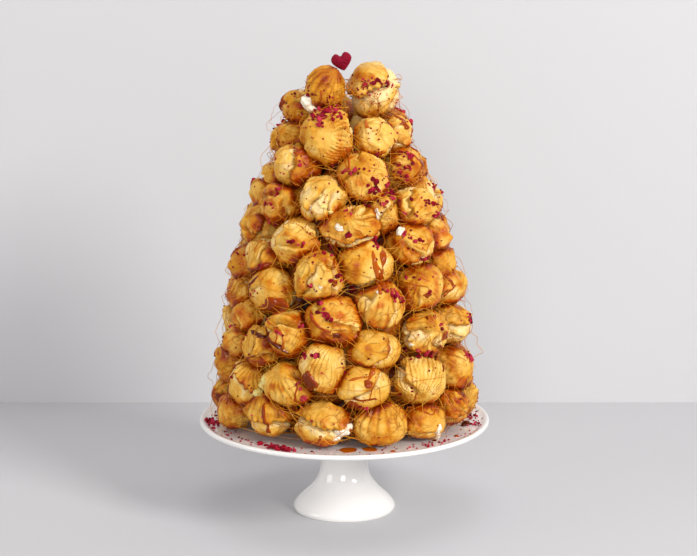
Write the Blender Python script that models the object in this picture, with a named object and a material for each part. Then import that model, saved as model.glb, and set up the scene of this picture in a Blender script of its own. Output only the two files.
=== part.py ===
"""Croquembouche: a tower of choux buns bound with caramel, on its white footed cake stand.

Frame: metres, +Z up, origin on the tower's axis at the level that the stand's foot rests on.
The side with the named buns faces -Y. Azimuth 0 looks from -Y and grows towards +X.
"""

import math
import random
from typing import NamedTuple

import bmesh
import bpy
import numpy as np
from mathutils import Matrix, Vector

MM = 0.001

# Cake stand, one turned piece of porcelain, in millimetres
PLATE_RADIUS = 150.0
PLATE_TOP = 97.0
LIP_HEIGHT = 2.0
LIP_WIDTH = 6.0
RIM_THICKNESS = 5.0
PLATE_UNDERSIDE = 87.0
UNDERSIDE_FLAT_RADIUS = 62.0
STEM_RADIUS = 24.0
FOOT_FLARE = 30.0
FOOT_FLARE_REACH = 24.0
TOP_FLARE = 20.0
TOP_FLARE_REACH = 12.0
FOOT_EDGE = 4.0
FOOT_RING_OUTER = 52.0
FOOT_RING_INNER = 45.0
WALL = 6.0
HOLLOW_HEIGHT = 58.0
STAND_SEGMENTS = 32

# Tower outline: its radius falls from the foot radius by FALL * t ** FALL_POWER
TOWER_HEIGHT = 373.0
TOWER_FOOT_RADIUS = 136.0
TOWER_FALL = 100.0
TOWER_FALL_POWER = 1.9

# Core of caramel-bound buns, seen only in the gaps
CORE_DEPTH = 40.0
CORE_TOP = 300.0
CORE_CROWN = 2.0
CORE_SEGMENTS = 14
CORE_LEVELS = 6

# Gaps between pieces that touch
GAP = 0.3

# Bun form, as fractions of its half-width
BUN_SEGMENTS = 10
SMALL_BUN_SEGMENTS = 8
SMALL_BUN_WIDTH = 38.0
BUN_RINGS = 5
BACK_SEGMENTS = 7
BACK_RINGS = 4
RIB_HEIGHT = 0.05
TIP_HEIGHT = 0.10
CREASE_DEPTH = 0.07
BASE_LEVEL = 0.80
BUN_DEPTH = 0.95
FACET_ALLOWANCE = 1.05
RING_INSET = 0.95

# Heart on the top
HEART_WIDTH = 20.0
HEART_THICKNESS = 11.0
HEART_PLACE = (-2.0, -14.0, 467.4)
HEART_TILT = 14.0
HEART_SEGMENTS = 14
HEART_RINGS = 6

# Buns of the back
BACK_WIDTHS = (49.0, 56.0)
BACK_PITCH = 44.0
BACK_SEED = 43
TOP_BACK_DROP = 18.0
BACK_JITTER = 0.8
BACK_STAGGERS = (0.0, 0.1, -0.1, 0.2, -0.2, 0.3, -0.3)


class Bun(NamedTuple):
    """A bun by its place round the tower, its size and where its crown points.

    azimuth is in degrees; lift is above the row's level, and width and height are in
    millimetres. lean is how far the crown leans away from facing straight outwards, and
    turn is which way it leans, clockwise from straight up. proud stands it out of the ring.
    """

    azimuth: float
    lift: float
    width: float
    height: float
    lean: float
    turn: float
    proud: float = 0.0


class Row(NamedTuple):
    """A row of buns: its level above the plate and its named buns, from left to right."""

    level: float
    buns: tuple


ROWS = (
    Row(20, (
        Bun(-81, 12, 33, 37, 60, -80),
        Bun(-67, -1, 37, 39, 60, -30),
        Bun(-40, 4, 49, 45, 80, 0),
        Bun(-11, -1, 57, 47, 75, 10),
        Bun(18, 0, 57, 45, 75, 0),
        Bun(43, -2, 47, 45, 85, 0),
        Bun(66, 3, 39, 37, 70, 0),
        Bun(81, 8, 33, 37, 60, 60),
    )),
    Row(60, (
        Bun(-78, 4, 39, 43, 50, -80),
        Bun(-56, -7, 45, 47, 70, 20),
        Bun(-29, -1, 49, 45, 60, -90),
        Bun(-11, 20, 43, 51, 80, 30),
        Bun(10, 0, 53, 49, 60, 20),
        Bun(42, 1, 56, 49, 40, 150),
        Bun(74, 0, 43, 49, 50, 90),
    )),
    Row(100, (
        Bun(-66, -8, 33, 33, 60, -80),
        Bun(-46, -5, 39, 41, 60, -130),
        Bun(-30, 9, 41, 45, 40, 30),
        Bun(17, -5, 51, 43, 40, -30),
        Bun(48, 6, 48, 47, 35, 30),
        Bun(78, 4, 45, 43, 60, 70, 4),
    )),
    Row(138, (
        Bun(-62, -20, 37, 33, 60, -60),
        Bun(-72, -1, 35, 35, 60, -90),
        Bun(-45, 10, 51, 47, 25, -30),
        Bun(-5, -15, 59, 47, 50, -70),
        Bun(21, 0, 46, 49, 40, 20),
        Bun(81, 6, 46, 46, 60, 70, 3),
    )),
    Row(170, (
        Bun(-80, -5, 35, 37, 60, -90),
        Bun(-56, 8, 45, 41, 45, -120),
        Bun(-15, -5, 50, 49, 60, 0),
        Bun(13, 7, 55, 51, 45, 90),
        Bun(50, -21, 55, 53, 30, 0),
    )),
    Row(200, (
        Bun(-74, 6, 41, 47, 60, -60),
        Bun(-34, -2, 48, 44, 40, -50),
        Bun(4, 12, 59, 45, 35, -10),
        Bun(50, -6, 55, 48, 35, 20, 4),
        Bun(73, -8, 36, 39, 70, 90),
    )),
    Row(231, (
        Bun(-55, 1, 45, 41, 35, -30),
        Bun(-17, 9, 48, 44, 30, 45),
        Bun(33, -5, 41, 43, 60, 160, -13),
        Bun(55, -4, 51, 41, 70, -135, 12),
    )),
    Row(261, (
        Bun(-79, -8, 35, 31, 70, -80, -6),
        Bun(-52, 7, 49, 45, 80, 85, 3),
        Bun(17, -1, 51, 51, 35, 0),
        Bun(74, 3, 43, 47, 50, 70, -5),
    )),
    Row(295, (
        Bun(-78, -3, 41, 35, 50, -45),
        Bun(-17, 3, 51, 55, 25, -60),
        Bun(34, 0, 41, 43, 40, 30),
        Bun(70, 1, 35, 37, 60, 60, -4),
    )),
    Row(335, (
        Bun(-81, -12, 37, 35, 30, -60, 3),
        Bun(-34, 8, 36, 45, 75, 35),
        Bun(80, 4, 57, 53, 60, -20, 4),
    )),
)
ROWS_PER_BACK = 2


class Placed(NamedTuple):
    """A bun in the tower: its node, centre, half-sizes, ring axes, crown turning and mean radius."""

    node: str
    centre: np.ndarray
    half: np.ndarray
    frame: np.ndarray
    crown: np.ndarray
    radius: float
    named: bool


def tower_radius(level):
    """Radius of the tower's outline at a level above the plate."""
    t = min(max(level / TOWER_HEIGHT, 0.0), 1.0)
    return TOWER_FOOT_RADIUS - TOWER_FALL * t ** TOWER_FALL_POWER


def tower_slope(level):
    """Fall of that radius for each millimetre of height."""
    t = min(max(level / TOWER_HEIGHT, 0.0), 1.0)
    return TOWER_FALL * TOWER_FALL_POWER * t ** (TOWER_FALL_POWER - 1.0) / TOWER_HEIGHT


def core_radius(level):
    """Radius of the core at a level above the plate."""
    return tower_radius(level) - CORE_DEPTH


def clear_scene():
    """Remove whatever the file starts with."""
    for thing in list(bpy.data.objects):
        bpy.data.objects.remove(thing, do_unlink=True)


def material(name, colour, roughness, metallic=0.0):
    """A Principled material of one colour."""
    found = bpy.data.materials.get(name)
    if found:
        return found
    made = bpy.data.materials.new(name)
    made.use_nodes = True
    shader = made.node_tree.nodes["Principled BSDF"]
    shader.inputs["Base Color"].default_value = (*colour, 1.0)
    shader.inputs["Roughness"].default_value = roughness
    shader.inputs["Metallic"].default_value = metallic
    made.diffuse_color = (*colour, 1.0)
    return made


def add_object(name, bm, finish, sharp_angle=50.0):
    """Turn a bmesh in millimetres into a smooth-shaded object in metres."""
    bmesh.ops.scale(bm, vec=(MM, MM, MM), verts=bm.verts)
    bmesh.ops.recalc_face_normals(bm, faces=bm.faces)
    mesh = bpy.data.meshes.new(name)
    bm.to_mesh(mesh)
    bm.free()
    mesh.shade_smooth()
    mesh.set_sharp_from_angle(angle=math.radians(sharp_angle))
    mesh.materials.append(finish)
    thing = bpy.data.objects.new(name, mesh)
    bpy.context.scene.collection.objects.link(thing)
    return thing


def turned(profile, segments):
    """Turn a profile of (radius, height) points round Z; its two ends are on the axis."""
    bm = bmesh.new()
    rings = []
    for radius, height in profile[1:-1]:
        ring = []
        for step in range(segments):
            angle = 2.0 * math.pi * step / segments
            ring.append(bm.verts.new((radius * math.cos(angle), radius * math.sin(angle), height)))
        rings.append(ring)
    for first, second in zip(rings, rings[1:]):
        for step in range(segments):
            after = (step + 1) % segments
            bm.faces.new((first[step], first[after], second[after], second[step]))
    for pole_height, ring in ((profile[0][1], rings[0]), (profile[-1][1], rings[-1])):
        pole = bm.verts.new((0.0, 0.0, pole_height))
        for step in range(segments):
            bm.faces.new((pole, ring[step], ring[(step + 1) % segments]))
    return bm


def stem_radius(height):
    """Outer radius of the stem: flared into the foot below and into the plate above."""
    foot = FOOT_FLARE * math.exp(-((height / FOOT_FLARE_REACH) ** 2))
    top = TOP_FLARE * math.exp(-(((PLATE_UNDERSIDE - height) / TOP_FLARE_REACH) ** 2))
    return STEM_RADIUS + foot + top


def stand_profile():
    """Outline of the stand from the middle of the plate round to the top of the foot's hollow."""
    lip_top = PLATE_TOP + LIP_HEIGHT
    rim_mid = lip_top - RIM_THICKNESS / 2.0
    points = [(0.0, PLATE_TOP), (PLATE_RADIUS - 3.0 * LIP_WIDTH, PLATE_TOP)]
    points.append((PLATE_RADIUS - LIP_WIDTH, PLATE_TOP + 0.4 * LIP_HEIGHT))
    half = RIM_THICKNESS / 2.0
    for step in range(5):
        angle = math.radians(90.0 - 45.0 * step)
        points.append((PLATE_RADIUS - half + half * math.cos(angle), rim_mid + half * math.sin(angle)))
    points.append((UNDERSIDE_FLAT_RADIUS, PLATE_UNDERSIDE + 1.0))
    for height in (PLATE_UNDERSIDE - 1.0, 76.0, 50.0, 34.0, 22.0, 13.0, FOOT_EDGE):
        points.append((stem_radius(height), height))
    points.append((FOOT_RING_OUTER, 0.0))
    points.append((FOOT_RING_INNER, 0.0))
    for height in (6.0, 26.0, HOLLOW_HEIGHT):
        points.append((min(stem_radius(height) - WALL, FOOT_RING_INNER - 1.0), height))
    points.append((0.0, HOLLOW_HEIGHT + 3.0))
    return points


def build_stand():
    """The white cake stand: plate, stem and hollow foot in one piece."""
    finish = material("glazed_porcelain", (0.86, 0.86, 0.85), 0.12)
    return add_object("cake_stand", turned(stand_profile(), STAND_SEGMENTS), finish, 40.0)


def build_core():
    """The caramel-bound middle of the tower, a turned cone with a rounded outline."""
    levels = [GAP + CORE_TOP * step / (CORE_LEVELS - 1) for step in range(CORE_LEVELS)]
    profile = [(0.0, PLATE_TOP + levels[-1] + CORE_CROWN)]
    for level in reversed(levels):
        profile.append((core_radius(level) - GAP, PLATE_TOP + level))
    profile.append((0.0, PLATE_TOP + GAP))
    finish = material("dark_caramel", (0.16, 0.045, 0.008), 0.25)
    return add_object("caramel_core", turned(profile, CORE_SEGMENTS), finish)


def bun_axes(azimuth, lean, turn):
    """Axes of the ring at an azimuth (side, out, up) and the turning of the bun's crown.

    The first matrix holds the ring's axes as its columns. The second turns the bun's own
    frame, whose +Z is the crown, into the ring's axes.
    """
    angle = math.radians(azimuth)
    side = Vector((math.cos(angle), math.sin(angle), 0.0))
    out = Vector((math.sin(angle), -math.cos(angle), 0.0))
    frame = np.array((side, out, (0.0, 0.0, 1.0))).T
    facing = Matrix.Rotation(math.radians(-90.0), 3, "X")
    tipped = Matrix.Rotation(math.radians(lean), 3, "X")
    turned_by = Matrix.Rotation(math.radians(turn), 3, "Y")
    return frame, np.array(turned_by @ tipped @ facing)


def place(node, bun, level, named):
    """Set one bun in its row."""
    height = level + bun.lift
    ring = tower_radius(height) - RING_INSET * bun.width / 2.0 + bun.proud
    frame, crown = bun_axes(bun.azimuth, bun.lean, bun.turn)
    centre = ring * frame[:, 1] + np.array((0.0, 0.0, PLATE_TOP + height))
    depth = BUN_DEPTH * (bun.width + bun.height) / 4.0
    half = FACET_ALLOWANCE * np.array((bun.width / 2.0, depth, bun.height / 2.0))
    return Placed(node, centre, half, frame, crown, (bun.width + bun.height) / 4.0, named)


def staggered(start, span, gaps, below):
    """Azimuths of a row's back buns, turned so that they rest over the gaps of the row below."""
    best, most = [], -1.0
    for stagger in BACK_STAGGERS:
        spots = []
        for step in range(1, gaps):
            swung = step + stagger * math.sin(math.pi * step / gaps)
            spots.append(start + span * swung / gaps)
        room = sum(min(abs(spot - other) for other in below) for spot in spots) if below else 0.0
        if room > most:
            best, most = spots, room
    return best


def back_buns(row, below, dice):
    """Buns that close a row round its back, from its right end to its left end.

    In the topmost row they sit lower, sunk between the buns of the row below.
    """
    azimuths = [bun.azimuth for bun in row.buns]
    start = max(azimuths)
    span = 360.0 - start + min(azimuths)
    ring = tower_radius(row.level) - RING_INSET * sum(BACK_WIDTHS) / 4.0
    gaps = max(2, round(math.radians(span) * ring / BACK_PITCH))
    made = []
    for step, azimuth in enumerate(staggered(start, span, gaps, below)):
        width = dice.uniform(*BACK_WIDTHS)
        height = width * dice.uniform(0.88, 1.04)
        lift = dice.uniform(-4.0, 4.0) + (5.0 if step % 2 else -5.0)
        if row is ROWS[-1]:
            lift -= TOP_BACK_DROP
        lean = dice.uniform(0.0, 40.0)
        turn = dice.uniform(-150.0, 150.0)
        azimuth += dice.uniform(-BACK_JITTER, BACK_JITTER)
        made.append(Bun(azimuth, lift, width, height, lean, turn))
    return made


def place_all():
    """Place every bun of the tower, the named ones and those of the back."""
    dice = random.Random(BACK_SEED)
    placed = []
    below = []
    for number, row in enumerate(ROWS, start=1):
        for count, bun in enumerate(row.buns, start=1):
            placed.append(place(f"bun_{number:02d}_{count}", bun, row.level, True))
        lower = number - (number - 1) % ROWS_PER_BACK
        node = f"back_buns_{lower:02d}_{lower + ROWS_PER_BACK - 1:02d}"
        behind = back_buns(row, below, dice)
        for bun in behind:
            placed.append(place(node, bun, row.level, False))
        below = [bun.azimuth for bun in behind]
        below += [bun.azimuth + round_turn for bun in row.buns for round_turn in (0.0, 360.0)]
    return placed


def bun_form(direction, rib_count):
    """Distance of the crust from the bun's middle along a direction in its own frame.

    A peaked crown with piped ribs, a crease where the crown lifted off the base, and a
    flat base.
    """
    polar = math.acos(max(-1.0, min(1.0, direction.z)))
    around = math.atan2(direction.y, direction.x)
    ribs = RIB_HEIGHT * math.cos(around * rib_count) * math.sin(polar) ** 2
    tip = TIP_HEIGHT * math.exp(-((polar / 0.35) ** 2))
    crease = CREASE_DEPTH * math.exp(-(((polar - 2.05) / 0.25) ** 2))
    reach = 1.0 + ribs + tip - crease
    if direction.z < 0.0:
        reach = min(reach, -BASE_LEVEL / direction.z)
    return reach


def cell_planes(bun, others, rest_gap):
    """Flat faces where a bun meets its neighbours, the plate and the core.

    Each face is an outward normal and its distance from the origin. Between two buns it is
    the plane in which their round outlines cross, so each stays on its own side.
    """
    planes = []
    for other in others:
        if other is bun or (other.node == bun.node):
            continue
        between = other.centre - bun.centre
        apart = float(np.linalg.norm(between))
        if apart > 1.3 * (bun.radius + other.radius):
            continue
        normal = between / apart
        reach = (apart ** 2 + bun.radius ** 2 - other.radius ** 2) / (2.0 * apart)
        planes.append((normal, float(normal @ bun.centre) + reach - GAP / 2.0))
    planes.append((np.array((0.0, 0.0, -1.0)), -(PLATE_TOP + rest_gap)))
    level = float(bun.centre[2]) - PLATE_TOP
    if level > CORE_TOP:
        planes.append((np.array((0.0, 0.0, -1.0)), -(PLATE_TOP + CORE_TOP + CORE_CROWN + 2.0 * GAP)))
        return planes
    normal = bun.frame[:, 1] + tower_slope(level) * np.array((0.0, 0.0, 1.0))
    normal /= np.linalg.norm(normal)
    touch = core_radius(level) * bun.frame[:, 1] + np.array((0.0, 0.0, bun.centre[2]))
    planes.append((-normal, float(-normal @ touch) - GAP / 2.0))
    return planes


def held_inside(points, centre, planes):
    """Pull points straight towards the centre until none is beyond a plane."""
    arms = points - centre
    scale = np.ones(len(arms))
    for normal, distance in planes:
        room = distance - float(normal @ centre)
        along = arms @ normal
        beyond = along > room
        scale[beyond] = np.minimum(scale[beyond], room / along[beyond])
    return centre + arms * scale[:, None]


def bun_mesh(bun, others, rest_gap):
    """One bun as a bmesh: its form, stretched to its sizes and pressed on its neighbours."""
    segments, rings = BACK_SEGMENTS, BACK_RINGS
    if bun.named:
        small = 2.0 * bun.half[0] < SMALL_BUN_WIDTH
        segments, rings = (SMALL_BUN_SEGMENTS if small else BUN_SEGMENTS), BUN_RINGS
    bm = bmesh.new()
    bmesh.ops.create_uvsphere(bm, u_segments=segments, v_segments=rings, radius=1.0)
    formed = np.array([vert.co * bun_form(vert.co.normalized(), segments // 2) for vert in bm.verts])
    local = (formed @ bun.crown.T) * bun.half
    points = bun.centre + local @ bun.frame.T
    for vert, point in zip(bm.verts, held_inside(points, bun.centre, cell_planes(bun, others, rest_gap))):
        vert.co = point
    bmesh.ops.triangulate(bm, faces=bm.faces)
    return bm


def build_buns(placed):
    """The named buns, each a piece of its own."""
    finish = material("baked_choux", (0.70, 0.38, 0.12), 0.5)
    for bun in placed:
        if bun.named:
            add_object(bun.node, bun_mesh(bun, placed, GAP), finish, 60.0)


def joined(name, pieces, finish):
    """Unite overlapping pieces into one solid object."""
    base = pieces[0]
    for piece in pieces[1:]:
        cut = base.modifiers.new("unite", "BOOLEAN")
        cut.operation = "UNION"
        cut.object = piece
    depsgraph = bpy.context.evaluated_depsgraph_get()
    mesh = bpy.data.meshes.new_from_object(base.evaluated_get(depsgraph))
    for piece in pieces:
        bpy.data.objects.remove(piece, do_unlink=True)
    mesh.name = name
    mesh.materials.clear()
    mesh.materials.append(finish)
    thing = bpy.data.objects.new(name, mesh)
    bpy.context.scene.collection.objects.link(thing)
    return thing


def build_back(placed):
    """The buns of the back, joined two rows to a piece."""
    finish = material("baked_choux", (0.70, 0.38, 0.12), 0.5)
    groups = {}
    for bun in placed:
        if not bun.named:
            groups.setdefault(bun.node, []).append(bun)
    for node, buns in groups.items():
        pieces = []
        for count, bun in enumerate(buns):
            rest_gap = GAP * (1.0 + 0.2 * count)
            pieces.append(add_object(f"{node}_{count}", bun_mesh(bun, placed, rest_gap), finish))
        joined(node, pieces, finish)


def heart_point(direction):
    """A point of the unit heart: a dipped top, two lobes and a point below."""
    side = abs(direction.x)
    dip = 0.42 * math.exp(-((side / 0.34) ** 2)) * max(direction.z, 0.0)
    taper = 1.0 - 0.42 * max(-direction.z, 0.0) ** 1.5
    x = direction.x * taper
    z = direction.z * (1.0 if direction.z < 0.0 else 0.92) + 0.16 * side - dip
    return Vector((x, direction.y * (1.0 - 0.25 * max(-direction.z, 0.0)), z))


def build_heart():
    """The heart on the top, a small dried-fruit heart that stands between two crowns."""
    bm = bmesh.new()
    bmesh.ops.create_uvsphere(bm, u_segments=HEART_SEGMENTS, v_segments=HEART_RINGS, radius=1.0)
    for vert in bm.verts:
        point = heart_point(vert.co)
        vert.co = Vector((point.x * HEART_WIDTH, point.y * HEART_THICKNESS, point.z * HEART_WIDTH)) / 2.0
    tilt = Matrix.Rotation(math.radians(-HEART_TILT), 4, "Y")
    bmesh.ops.transform(bm, matrix=Matrix.Translation(HEART_PLACE) @ tilt, verts=bm.verts)
    return add_object("fruit_heart", bm, material("dried_fruit", (0.27, 0.01, 0.03), 0.6), 60.0)


def main():
    """Build the whole part."""
    clear_scene()
    placed = place_all()
    build_stand()
    build_core()
    build_buns(placed)
    build_back(placed)
    build_heart()


main()
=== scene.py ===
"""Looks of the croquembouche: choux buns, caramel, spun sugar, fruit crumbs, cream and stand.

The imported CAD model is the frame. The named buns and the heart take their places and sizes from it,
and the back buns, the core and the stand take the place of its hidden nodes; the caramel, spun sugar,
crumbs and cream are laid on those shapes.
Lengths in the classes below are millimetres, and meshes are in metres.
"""

import logging
import math
import random
from collections.abc import Iterable
from dataclasses import dataclass, field
from enum import Enum
from functools import cache, cached_property

import bpy
import numpy as np
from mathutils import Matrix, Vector
from mathutils.bvhtree import BVHTree


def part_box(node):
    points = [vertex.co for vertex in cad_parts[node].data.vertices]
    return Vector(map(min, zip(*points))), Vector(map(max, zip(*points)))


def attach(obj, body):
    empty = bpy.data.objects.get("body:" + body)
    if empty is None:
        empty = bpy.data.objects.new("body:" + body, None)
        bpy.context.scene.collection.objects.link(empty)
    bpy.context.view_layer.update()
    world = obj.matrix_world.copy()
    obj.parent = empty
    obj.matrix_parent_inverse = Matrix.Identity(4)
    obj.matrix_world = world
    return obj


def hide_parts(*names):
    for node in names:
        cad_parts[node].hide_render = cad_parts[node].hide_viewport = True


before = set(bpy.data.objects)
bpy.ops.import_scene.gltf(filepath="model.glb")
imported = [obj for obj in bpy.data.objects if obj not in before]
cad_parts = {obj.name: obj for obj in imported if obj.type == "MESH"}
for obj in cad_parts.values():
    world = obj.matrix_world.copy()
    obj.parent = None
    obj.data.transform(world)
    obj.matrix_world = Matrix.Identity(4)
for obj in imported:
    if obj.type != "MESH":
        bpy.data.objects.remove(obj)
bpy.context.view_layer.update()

Array = np.ndarray
Piece = bpy.types.Object
Socket = bpy.types.NodeSocket
MM = 0.001
UP = np.array((0.0, 0.0, 1.0))
LOG = logging.getLogger("croquembouche")


# ---------------------------------------------------------------- colour and nodes


def linear(code: str) -> tuple[float, float, float, float]:
    """Turn an sRGB hex code into a linear colour.

    Args:
        code: six hex digits, such as "D9A45A".

    Returns:
        Red, green, blue and an alpha of 1.
    """
    parts = [int(code[at : at + 2], 16) / 255.0 for at in (0, 2, 4)]
    curve = [c / 12.92 if c <= 0.04045 else ((c + 0.055) / 1.055) ** 2.4 for c in parts]
    return (*curve, 1.0)


def add_node(tree: bpy.types.NodeTree, kind: str, settings: dict | None = None, **links) -> bpy.types.Node:
    """Add a shader node, set it up and link its inputs.

    Args:
        tree: the material's node tree.
        kind: the node's type name.
        settings: attributes of the node; a key that is a number or starts with "@" sets an input.
        links: an input's name, or its number after an i, to the output socket that feeds it.

    Returns:
        The new node.
    """
    node = tree.nodes.new(kind)
    for key, value in (settings or {}).items():
        if isinstance(key, int):
            node.inputs[key].default_value = value
        elif key.startswith("@"):
            node.inputs[key[1:]].default_value = value
        else:
            setattr(node, key, value)
    for key, socket in links.items():
        name = int(key[1:]) if key[0] == "i" else key
        tree.links.new(socket, node.inputs[name])
    return node


class Finish:
    """A new material, with short ways to add the patterns that its look is made of."""

    def __init__(self, name: str) -> None:
        """Make a node material with its Principled shader.

        Args:
            name: the material's name.
        """
        self.material = bpy.data.materials.new(name)
        self.material.use_nodes = True
        self.tree = self.material.node_tree
        self.shader = self.tree.nodes["Principled BSDF"]

    @cached_property
    def place(self) -> Socket:
        """Where a point is on its piece, in metres."""
        return add_node(self.tree, "ShaderNodeTexCoord").outputs["Object"]

    def painted(self, name: str) -> Socket:
        """A value that the mesh carries."""
        return add_node(self.tree, "ShaderNodeAttribute", {"attribute_name": name}).outputs["Fac"]

    def noise(self, size: float, detail: float, roughness: float = 0.5) -> Socket:
        """Uneven patches of a size in millimetres."""
        settings = {"@Scale": 1.0 / (size * MM), "@Detail": detail, "@Roughness": roughness}
        return add_node(self.tree, "ShaderNodeTexNoise", settings, Vector=self.place).outputs["Fac"]

    def uneven(
        self, value: Socket, noise: Socket, spread: float, clamp: bool = False
    ) -> Socket:
        """Move a value up and down with a noise, by spread from the least to the most.

        Args:
            value: what is moved.
            noise: a pattern from 0 to 1.
            spread: the whole range of the move.
            clamp: keeps the result from 0 to 1.

        Returns:
            The moved value.
        """
        settings = {"operation": "MULTIPLY_ADD", 1: spread, 2: -spread / 2.0}
        shift = add_node(self.tree, "ShaderNodeMath", settings, i0=noise).outputs[0]
        settings = {"operation": "ADD", "use_clamp": clamp}
        return add_node(self.tree, "ShaderNodeMath", settings, i0=value, i1=shift).outputs[0]

    def remap(
        self, value: Socket, given: tuple[float, float], wanted: tuple[float, float]
    ) -> Socket:
        """Take a value's given range to the wanted one, clamped.

        Args:
            value: what is remapped.
            given: the range it has.
            wanted: the range it gets.

        Returns:
            The remapped value.
        """
        ends = (("@From Min", "@From Max"), ("@To Min", "@To Max"))
        settings = dict(zip(ends[0] + ends[1], given + wanted))
        return add_node(self.tree, "ShaderNodeMapRange", settings, Value=value).outputs["Result"]

    def mix(
        self, part: Socket, under: Socket | str, over: str, blend: str = "MIX"
    ) -> Socket:
        """Lay a colour over another one.

        Args:
            part: how much of it shows.
            under: the colour below, a socket or a hex code.
            over: the colour above, a hex code.
            blend: how the two blend.

        Returns:
            The mixed colour.
        """
        settings = {"data_type": "RGBA", "blend_type": blend, 7: linear(over)}
        links = {"i0": part}
        if isinstance(under, str):
            settings[6] = linear(under)
        else:
            links["i6"] = under
        return add_node(self.tree, "ShaderNodeMix", settings, **links).outputs[2]

    def ramp(self, part: Socket, stops: dict[float, str]) -> Socket:
        """A run of colours, given as positions and hex codes.

        Args:
            part: the place along the run, from 0 to 1.
            stops: hex codes by position.

        Returns:
            The colour.
        """
        node = add_node(self.tree, "ShaderNodeValToRGB", Fac=part)
        line = node.color_ramp
        while len(line.elements) < len(stops):
            line.elements.new(0.5)
        for element, (place, code) in zip(line.elements, stops.items()):
            element.position = place
            element.color = linear(code)
        return node.outputs["Color"]

    def bump(
        self, height: Socket, strength: float, depth: float, **below: Socket
    ) -> Socket:
        """Small relief of a depth in millimetres, on the relief below if Normal gives one."""
        settings = {"@Strength": strength, "@Distance": depth * MM}
        return add_node(self.tree, "ShaderNodeBump", settings, Height=height, **below).outputs["Normal"]

    def feed(self, name: str, value: Socket | float | tuple) -> None:
        """Link a shader input to a socket, or set it to a uniform value.

        Args:
            name: the shader's input.
            value: a socket, a number or a colour.
        """
        if isinstance(value, Socket):
            self.tree.links.new(value, self.shader.inputs[name])
        else:
            self.shader.inputs[name].default_value = value


# ---------------------------------------------------------------- finishes


@dataclass(frozen=True)
class BakedChoux:
    """Choux paste baked to a thin crisp crust: pale where it tore, darker in its rib valleys as painted
    shade.

    The mesh carries three painted values: how dark the bake is, with painted shade added toward the
    underside, near the contacts and in the rib valleys, and painted light on the rib tops; how much caramel
    coats the crust; and painted shade in the creases, the thin dark lines in the folds, cracks and clefts
    and under the cap's edge.
    """

    name: str = "baked_choux_crust"
    torn: str = "F0D69C"
    pale: str = "E8BA5A"
    golden: str = "D09024"
    brown: str = "A05006"
    dark: str = "461600"
    crease_shade_colour: str = "622600"
    amber: str = "E89A28"
    glaze_colour: str = "7A2E00"
    mottle_mm: float = 5.0
    speck_mm: float = 1.6
    crust_mm: float = 0.9

    def make(self) -> bpy.types.Material:
        """Build the material.

        Returns:
            The finished material.
        """
        finish = Finish(self.name)
        browning_and_shade, glaze, crease_shade = (finish.painted(name) for name in ("browning_and_shade", "glaze", "crease_shade"))
        mottle = finish.noise(self.mottle_mm, 5.0, 0.62)
        bakes = {0.0: self.torn, 0.25: self.pale, 0.5: self.golden, 0.75: self.brown, 1.0: self.dark}
        # The bake's colours follow the browning, which also carries painted shade and light.
        crust = finish.ramp(finish.uneven(browning_and_shade, mottle, 0.30), bakes)
        freckle = finish.remap(finish.noise(self.speck_mm, 2.0), (0.60, 0.78), (0.0, 0.22))
        # Painted shade in the creases darkens the crust colour along its lines.
        with_crease_shade = finish.mix(crease_shade, finish.mix(freckle, crust, self.brown), self.crease_shade_colour)
        coat = finish.uneven(glaze, mottle, 0.7)
        film = finish.remap(coat, (0.28, 0.75), (0.0, 0.95))
        amber = finish.mix(film, with_crease_shade, self.amber, "MULTIPLY")
        syrup = finish.remap(coat, (0.72, 1.15), (0.0, 0.75))
        finish.feed("Base Color", finish.mix(syrup, amber, self.glaze_colour))
        dry = finish.remap(coat, (0.25, 0.8), (0.38, 0.17))
        finish.feed("Roughness", finish.uneven(dry, mottle, 0.22, clamp=True))
        finish.feed("Specular IOR Level", finish.remap(coat, (0.35, 0.9), (0.12, 0.28)))
        grain = finish.bump(finish.noise(self.crust_mm, 4.0, 0.6), 0.35, 0.35)
        finish.feed("Normal", finish.bump(mottle, 0.55, 1.6, Normal=grain))
        return finish.material


@dataclass(frozen=True)
class HardCaramel:
    """Sugar boiled to hard crack: glassy, amber where thin and red-brown where thick.

    The mesh carries depth, the thickness of the caramel from 0 to 1.
    """

    name: str = "hard_crack_caramel"
    thin: str = "D0720C"
    amber: str = "9A3C02"
    thick: str = "4A1200"
    ripple_mm: float = 4.0
    roughness: float = 0.06
    gloss: float = 0.24

    def make(self) -> bpy.types.Material:
        """Build the material.

        Returns:
            The finished material.
        """
        finish = Finish(self.name)
        stops = {0.0: self.thin, 0.45: self.amber, 1.0: self.thick}
        finish.feed("Base Color", finish.ramp(finish.painted("depth"), stops))
        finish.feed("Normal", finish.bump(finish.noise(self.ripple_mm, 2.0), 0.12, 0.8))
        finish.feed("Roughness", self.roughness)
        finish.feed("Specular IOR Level", self.gloss)
        return finish.material


@dataclass(frozen=True)
class BoundCore:
    """The inner buns seen through the gaps: crust soaked and stuck together with caramel, painted dark as
    shade deep in the gaps, darkest in the hollows between the buns and lightest on their domes.
    """

    name: str = "caramel_core_painted_shade"
    deep: str = "2E0D02"
    soaked: str = "6A2806"
    lit: str = "A85A12"
    blotch_mm: float = 7.0
    roughness: float = 0.42
    gloss: float = 0.25

    def make(self) -> bpy.types.Material:
        """Build the material.

        Returns:
            The finished material.
        """
        finish = Finish(self.name)
        blotch = finish.noise(self.blotch_mm, 4.0)
        level = finish.uneven(finish.painted("relief"), blotch, 0.6)
        # Painted shade and light: darkest in the hollows between the inner buns, lit on their domes.
        finish.feed("Base Color", finish.ramp(level, {0.15: self.deep, 0.6: self.soaked, 1.0: self.lit}))
        finish.feed("Normal", finish.bump(blotch, 0.5, 1.5))
        finish.feed("Roughness", self.roughness)
        finish.feed("Specular IOR Level", self.gloss)
        return finish.material


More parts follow.
